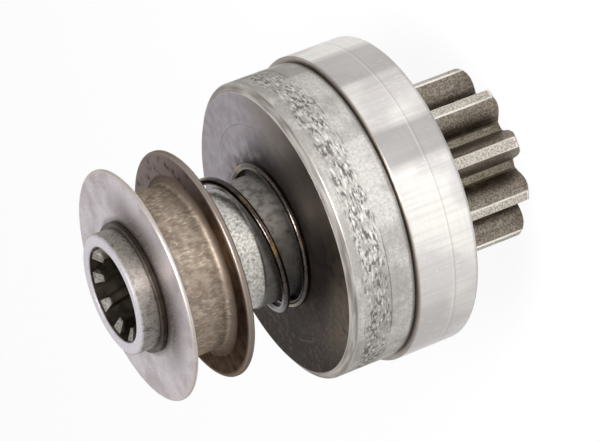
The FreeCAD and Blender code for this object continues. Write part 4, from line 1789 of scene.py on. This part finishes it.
@dataclass
class Studio:
    """Pale floor, plain soft light and white surroundings."""

    floor_size: float = 12.0
    floor_tone: Colour = tone(238, 238, 238)
    floor_glow: float = 0.92
    reflected_glow: float = 0.2
    world_light: float = 0.5
    lamps: tuple[Lamp, ...] = (
        Lamp("key_lamp", (0.03, -0.34, 0.34), (0.02, -0.12, 0.0), 0.2, 1.5, 120.0),
        Lamp("fill_lamp", (-0.5, -0.5, 0.5), (0.0, 0.0, 0.04), 0.5, 0.4),
        Lamp("top_lamp", (0.0, 0.1, 0.8), (0.0, 0.0, 0.04), 0.5, 0.3),
    )

    def rays(self, tree: Tree) -> tuple[Value, Value]:
        """Masks of the rays from the camera and of those off metal or through glass.

        Args:
            tree: the tree to build in.

        Returns:
            1 for a camera ray, and 1 for a glossy or a transmission ray.
        """
        path = tree.node("ShaderNodeLightPath")
        mirrored = tree.value(path, "Is Glossy Ray").larger(tree.value(path, "Is Transmission Ray"))
        return tree.value(path, "Is Camera Ray"), mirrored

    def floor(self) -> None:
        """Make the floor."""
        half = self.floor_size / 2
        mesh = bpy.data.meshes.new("floor")
        corners = [(-half, -half, 0), (half, -half, 0), (half, half, 0), (-half, half, 0)]
        mesh.from_pydata(corners, [], [(0, 1, 2, 3)])
        made = bpy.data.objects.new("floor", mesh)
        bpy.context.scene.collection.objects.link(made)
        tree = Surface("pale_floor")
        faint = tree.noise(0.02, detail=2.0)
        colour = tree.mix(faint, self.floor_tone, tone(232, 232, 232))
        matt_inputs = {"Base Color": colour, "Roughness": 1.0, "Specular IOR Level": 0.0}
        matt = tree.node("ShaderNodeBsdfPrincipled", {}, matt_inputs)
        glow = tree.node("ShaderNodeEmission", {}, {"Color": WHITE, "Strength": 1.0})
        camera, mirrored = self.rays(tree)
        share = camera * self.floor_glow + mirrored * self.reflected_glow
        shaders = {0: share, 1: matt.outputs[0], 2: glow.outputs[0]}
        both = tree.node("ShaderNodeMixShader", {}, shaders)
        tree.node("ShaderNodeOutputMaterial", {}, {"Surface": both.outputs[0]})
        mesh.materials.append(tree.material)

    def world(self) -> None:
        """Make the white surroundings."""
        world = bpy.data.worlds.new("white_room")
        bpy.context.scene.world = world
        tree = Tree(world)
        camera, mirrored = self.rays(tree)
        light = tree.node("ShaderNodeBackground", {}, {"Color": WHITE, "Strength": self.world_light})
        shown = tree.node("ShaderNodeBackground", {}, {"Color": WHITE, "Strength": 1.0})
        shaders = {0: camera.larger(mirrored), 1: light.outputs[0], 2: shown.outputs[0]}
        both = tree.node("ShaderNodeMixShader", {}, shaders)
        tree.node("ShaderNodeOutputWorld", {}, {"Surface": both.outputs[0]})

    def build(self) -> None:
        """Make the floor, the surroundings and the lamps."""
        self.floor()
        self.world()
        for lamp in self.lamps:
            lamp.build()
        bpy.context.scene.view_settings.view_transform = "Standard"


@dataclass
class PhotoCamera:
    """Camera at the photograph's viewing angle."""

    elevation: float = 21.987
    roll: float = -110.99
    distance: float = 0.72547
    aim: tuple[float, float, float] = (0.0005, 0.0, 0.04318)
    lens: float = 217.06
    sensor: float = 36.0

    def build(self) -> None:
        """Add the camera and make it the scene's own."""
        elevation = math.radians(self.elevation)
        back = Vector((0, -math.cos(elevation), math.sin(elevation)))
        level_up = Vector((0, math.sin(elevation), math.cos(elevation)))
        roll = math.radians(self.roll)
        right = Vector((1, 0, 0)) * math.cos(roll) + level_up * math.sin(roll)
        up = back.cross(right)
        turn = Matrix((right, up, back)).transposed()
        data = bpy.data.cameras.new("photo_camera")
        data.sensor_width = self.sensor
        data.lens = self.lens
        made = bpy.data.objects.new("photo_camera", data)
        made.matrix_world = Matrix.Translation(Vector(self.aim) + back * self.distance) @ turn.to_4x4()
        bpy.context.scene.collection.objects.link(made)
        bpy.context.scene.camera = made


@dataclass
class PlungerSprings:
    """Small coils between the stops and the plungers."""

    nodes: dict[str, bpy.types.Object]
    race: OuterRace = field(default_factory=OuterRace)
    turns: float = 6.0
    coil_radius: float = 1.48
    wire_radius: float = 0.2
    travel: float = 1.2

    def build(self) -> None:
        """Make one coil for each plunger, as long as its CAD node."""
        finish = OiledWire("oiled_wire")
        level = self.race.extent.bottom + self.race.plunger_height
        for index in range(self.race.roller_count):
            node = f"plunger_spring_{index + 1}"
            placement = self.race.pocket_placement(index)
            base = placement @ Vector((0, 0, level))
            push = (placement.to_3x3() @ Vector((1, 0, 0))).normalized()
            reach = [(Vector(spot.co) / MM - base).dot(push) for spot in self.nodes[node].data.vertices]
            low, high = min(reach), max(reach)
            CoilSpring(
                name=f"plunger_coil_{index + 1}",
                node=node,
                body="drive",
                joint=f"plunger_{index + 1}_slide",
                base=base,
                axis=push,
                side=Vector((0, 0, 1)),
                coil_radius=self.coil_radius,
                wire_radius=self.wire_radius,
                low=low + self.wire_radius,
                high=high - self.wire_radius,
                pitch=(high - low - 2 * self.wire_radius) / self.turns,
                closed_turns=0.0,
                liftoff=0.0,
                kept_share=(high - low - self.travel) / (high - low),
                steps=36,
                sides=10,
            ).build(finish)


@dataclass
class BufferSpring:
    """Buffer spring between the race and the spool."""

    race: Extent = field(default_factory=lambda: Extent.of("outer_race"))
    cup: Extent = field(default_factory=lambda: Extent.of("spool_cup"))
    wire_radius: float = 0.8
    coil_radius: float = 14.6
    pitch: float = 12.5
    closed_angle: float = 300.0
    liftoff: float = 88.0
    cup_sheet: float = 1.5
    gap: float = 0.05
    slide: float = 17.0

    def build(self) -> None:
        """Make the coil."""
        low = self.race.top + self.wire_radius + self.gap
        high = self.cup.top - self.cup_sheet - self.wire_radius - self.gap
        length = high - low + 2 * self.wire_radius
        CoilSpring(
            name="buffer_coil",
            node="buffer_spring",
            body="spring",
            joint="spool_slide",
            base=Vector((0, 0, 0)),
            axis=Vector((0, 0, 1)),
            side=Vector((1, 0, 0)),
            coil_radius=self.coil_radius,
            wire_radius=self.wire_radius,
            low=low,
            high=high,
            pitch=self.pitch,
            closed_turns=self.closed_angle / 360,
            liftoff=self.liftoff,
            kept_share=(length - self.slide) / length,
            steps=96,
            sides=20,
        ).build(OiledWire("oiled_wire"))


def main() -> None:
    """Load the frame, build the drive piece by piece, and set the studio and the camera."""
    logging.basicConfig(level=logging.INFO, format="%(message)s")
    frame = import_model()
    Casing().build()
    OuterRace().build()
    Spool().build()
    BufferSpring().build()
    PlungerSprings(frame["nodes"]).build()
    Pinion().build()
    Insides(frame["nodes"]).build()
    Studio().build()
    PhotoCamera().build()
    bpy.context.view_layer.update()


if __name__ == "__main__":
    main()
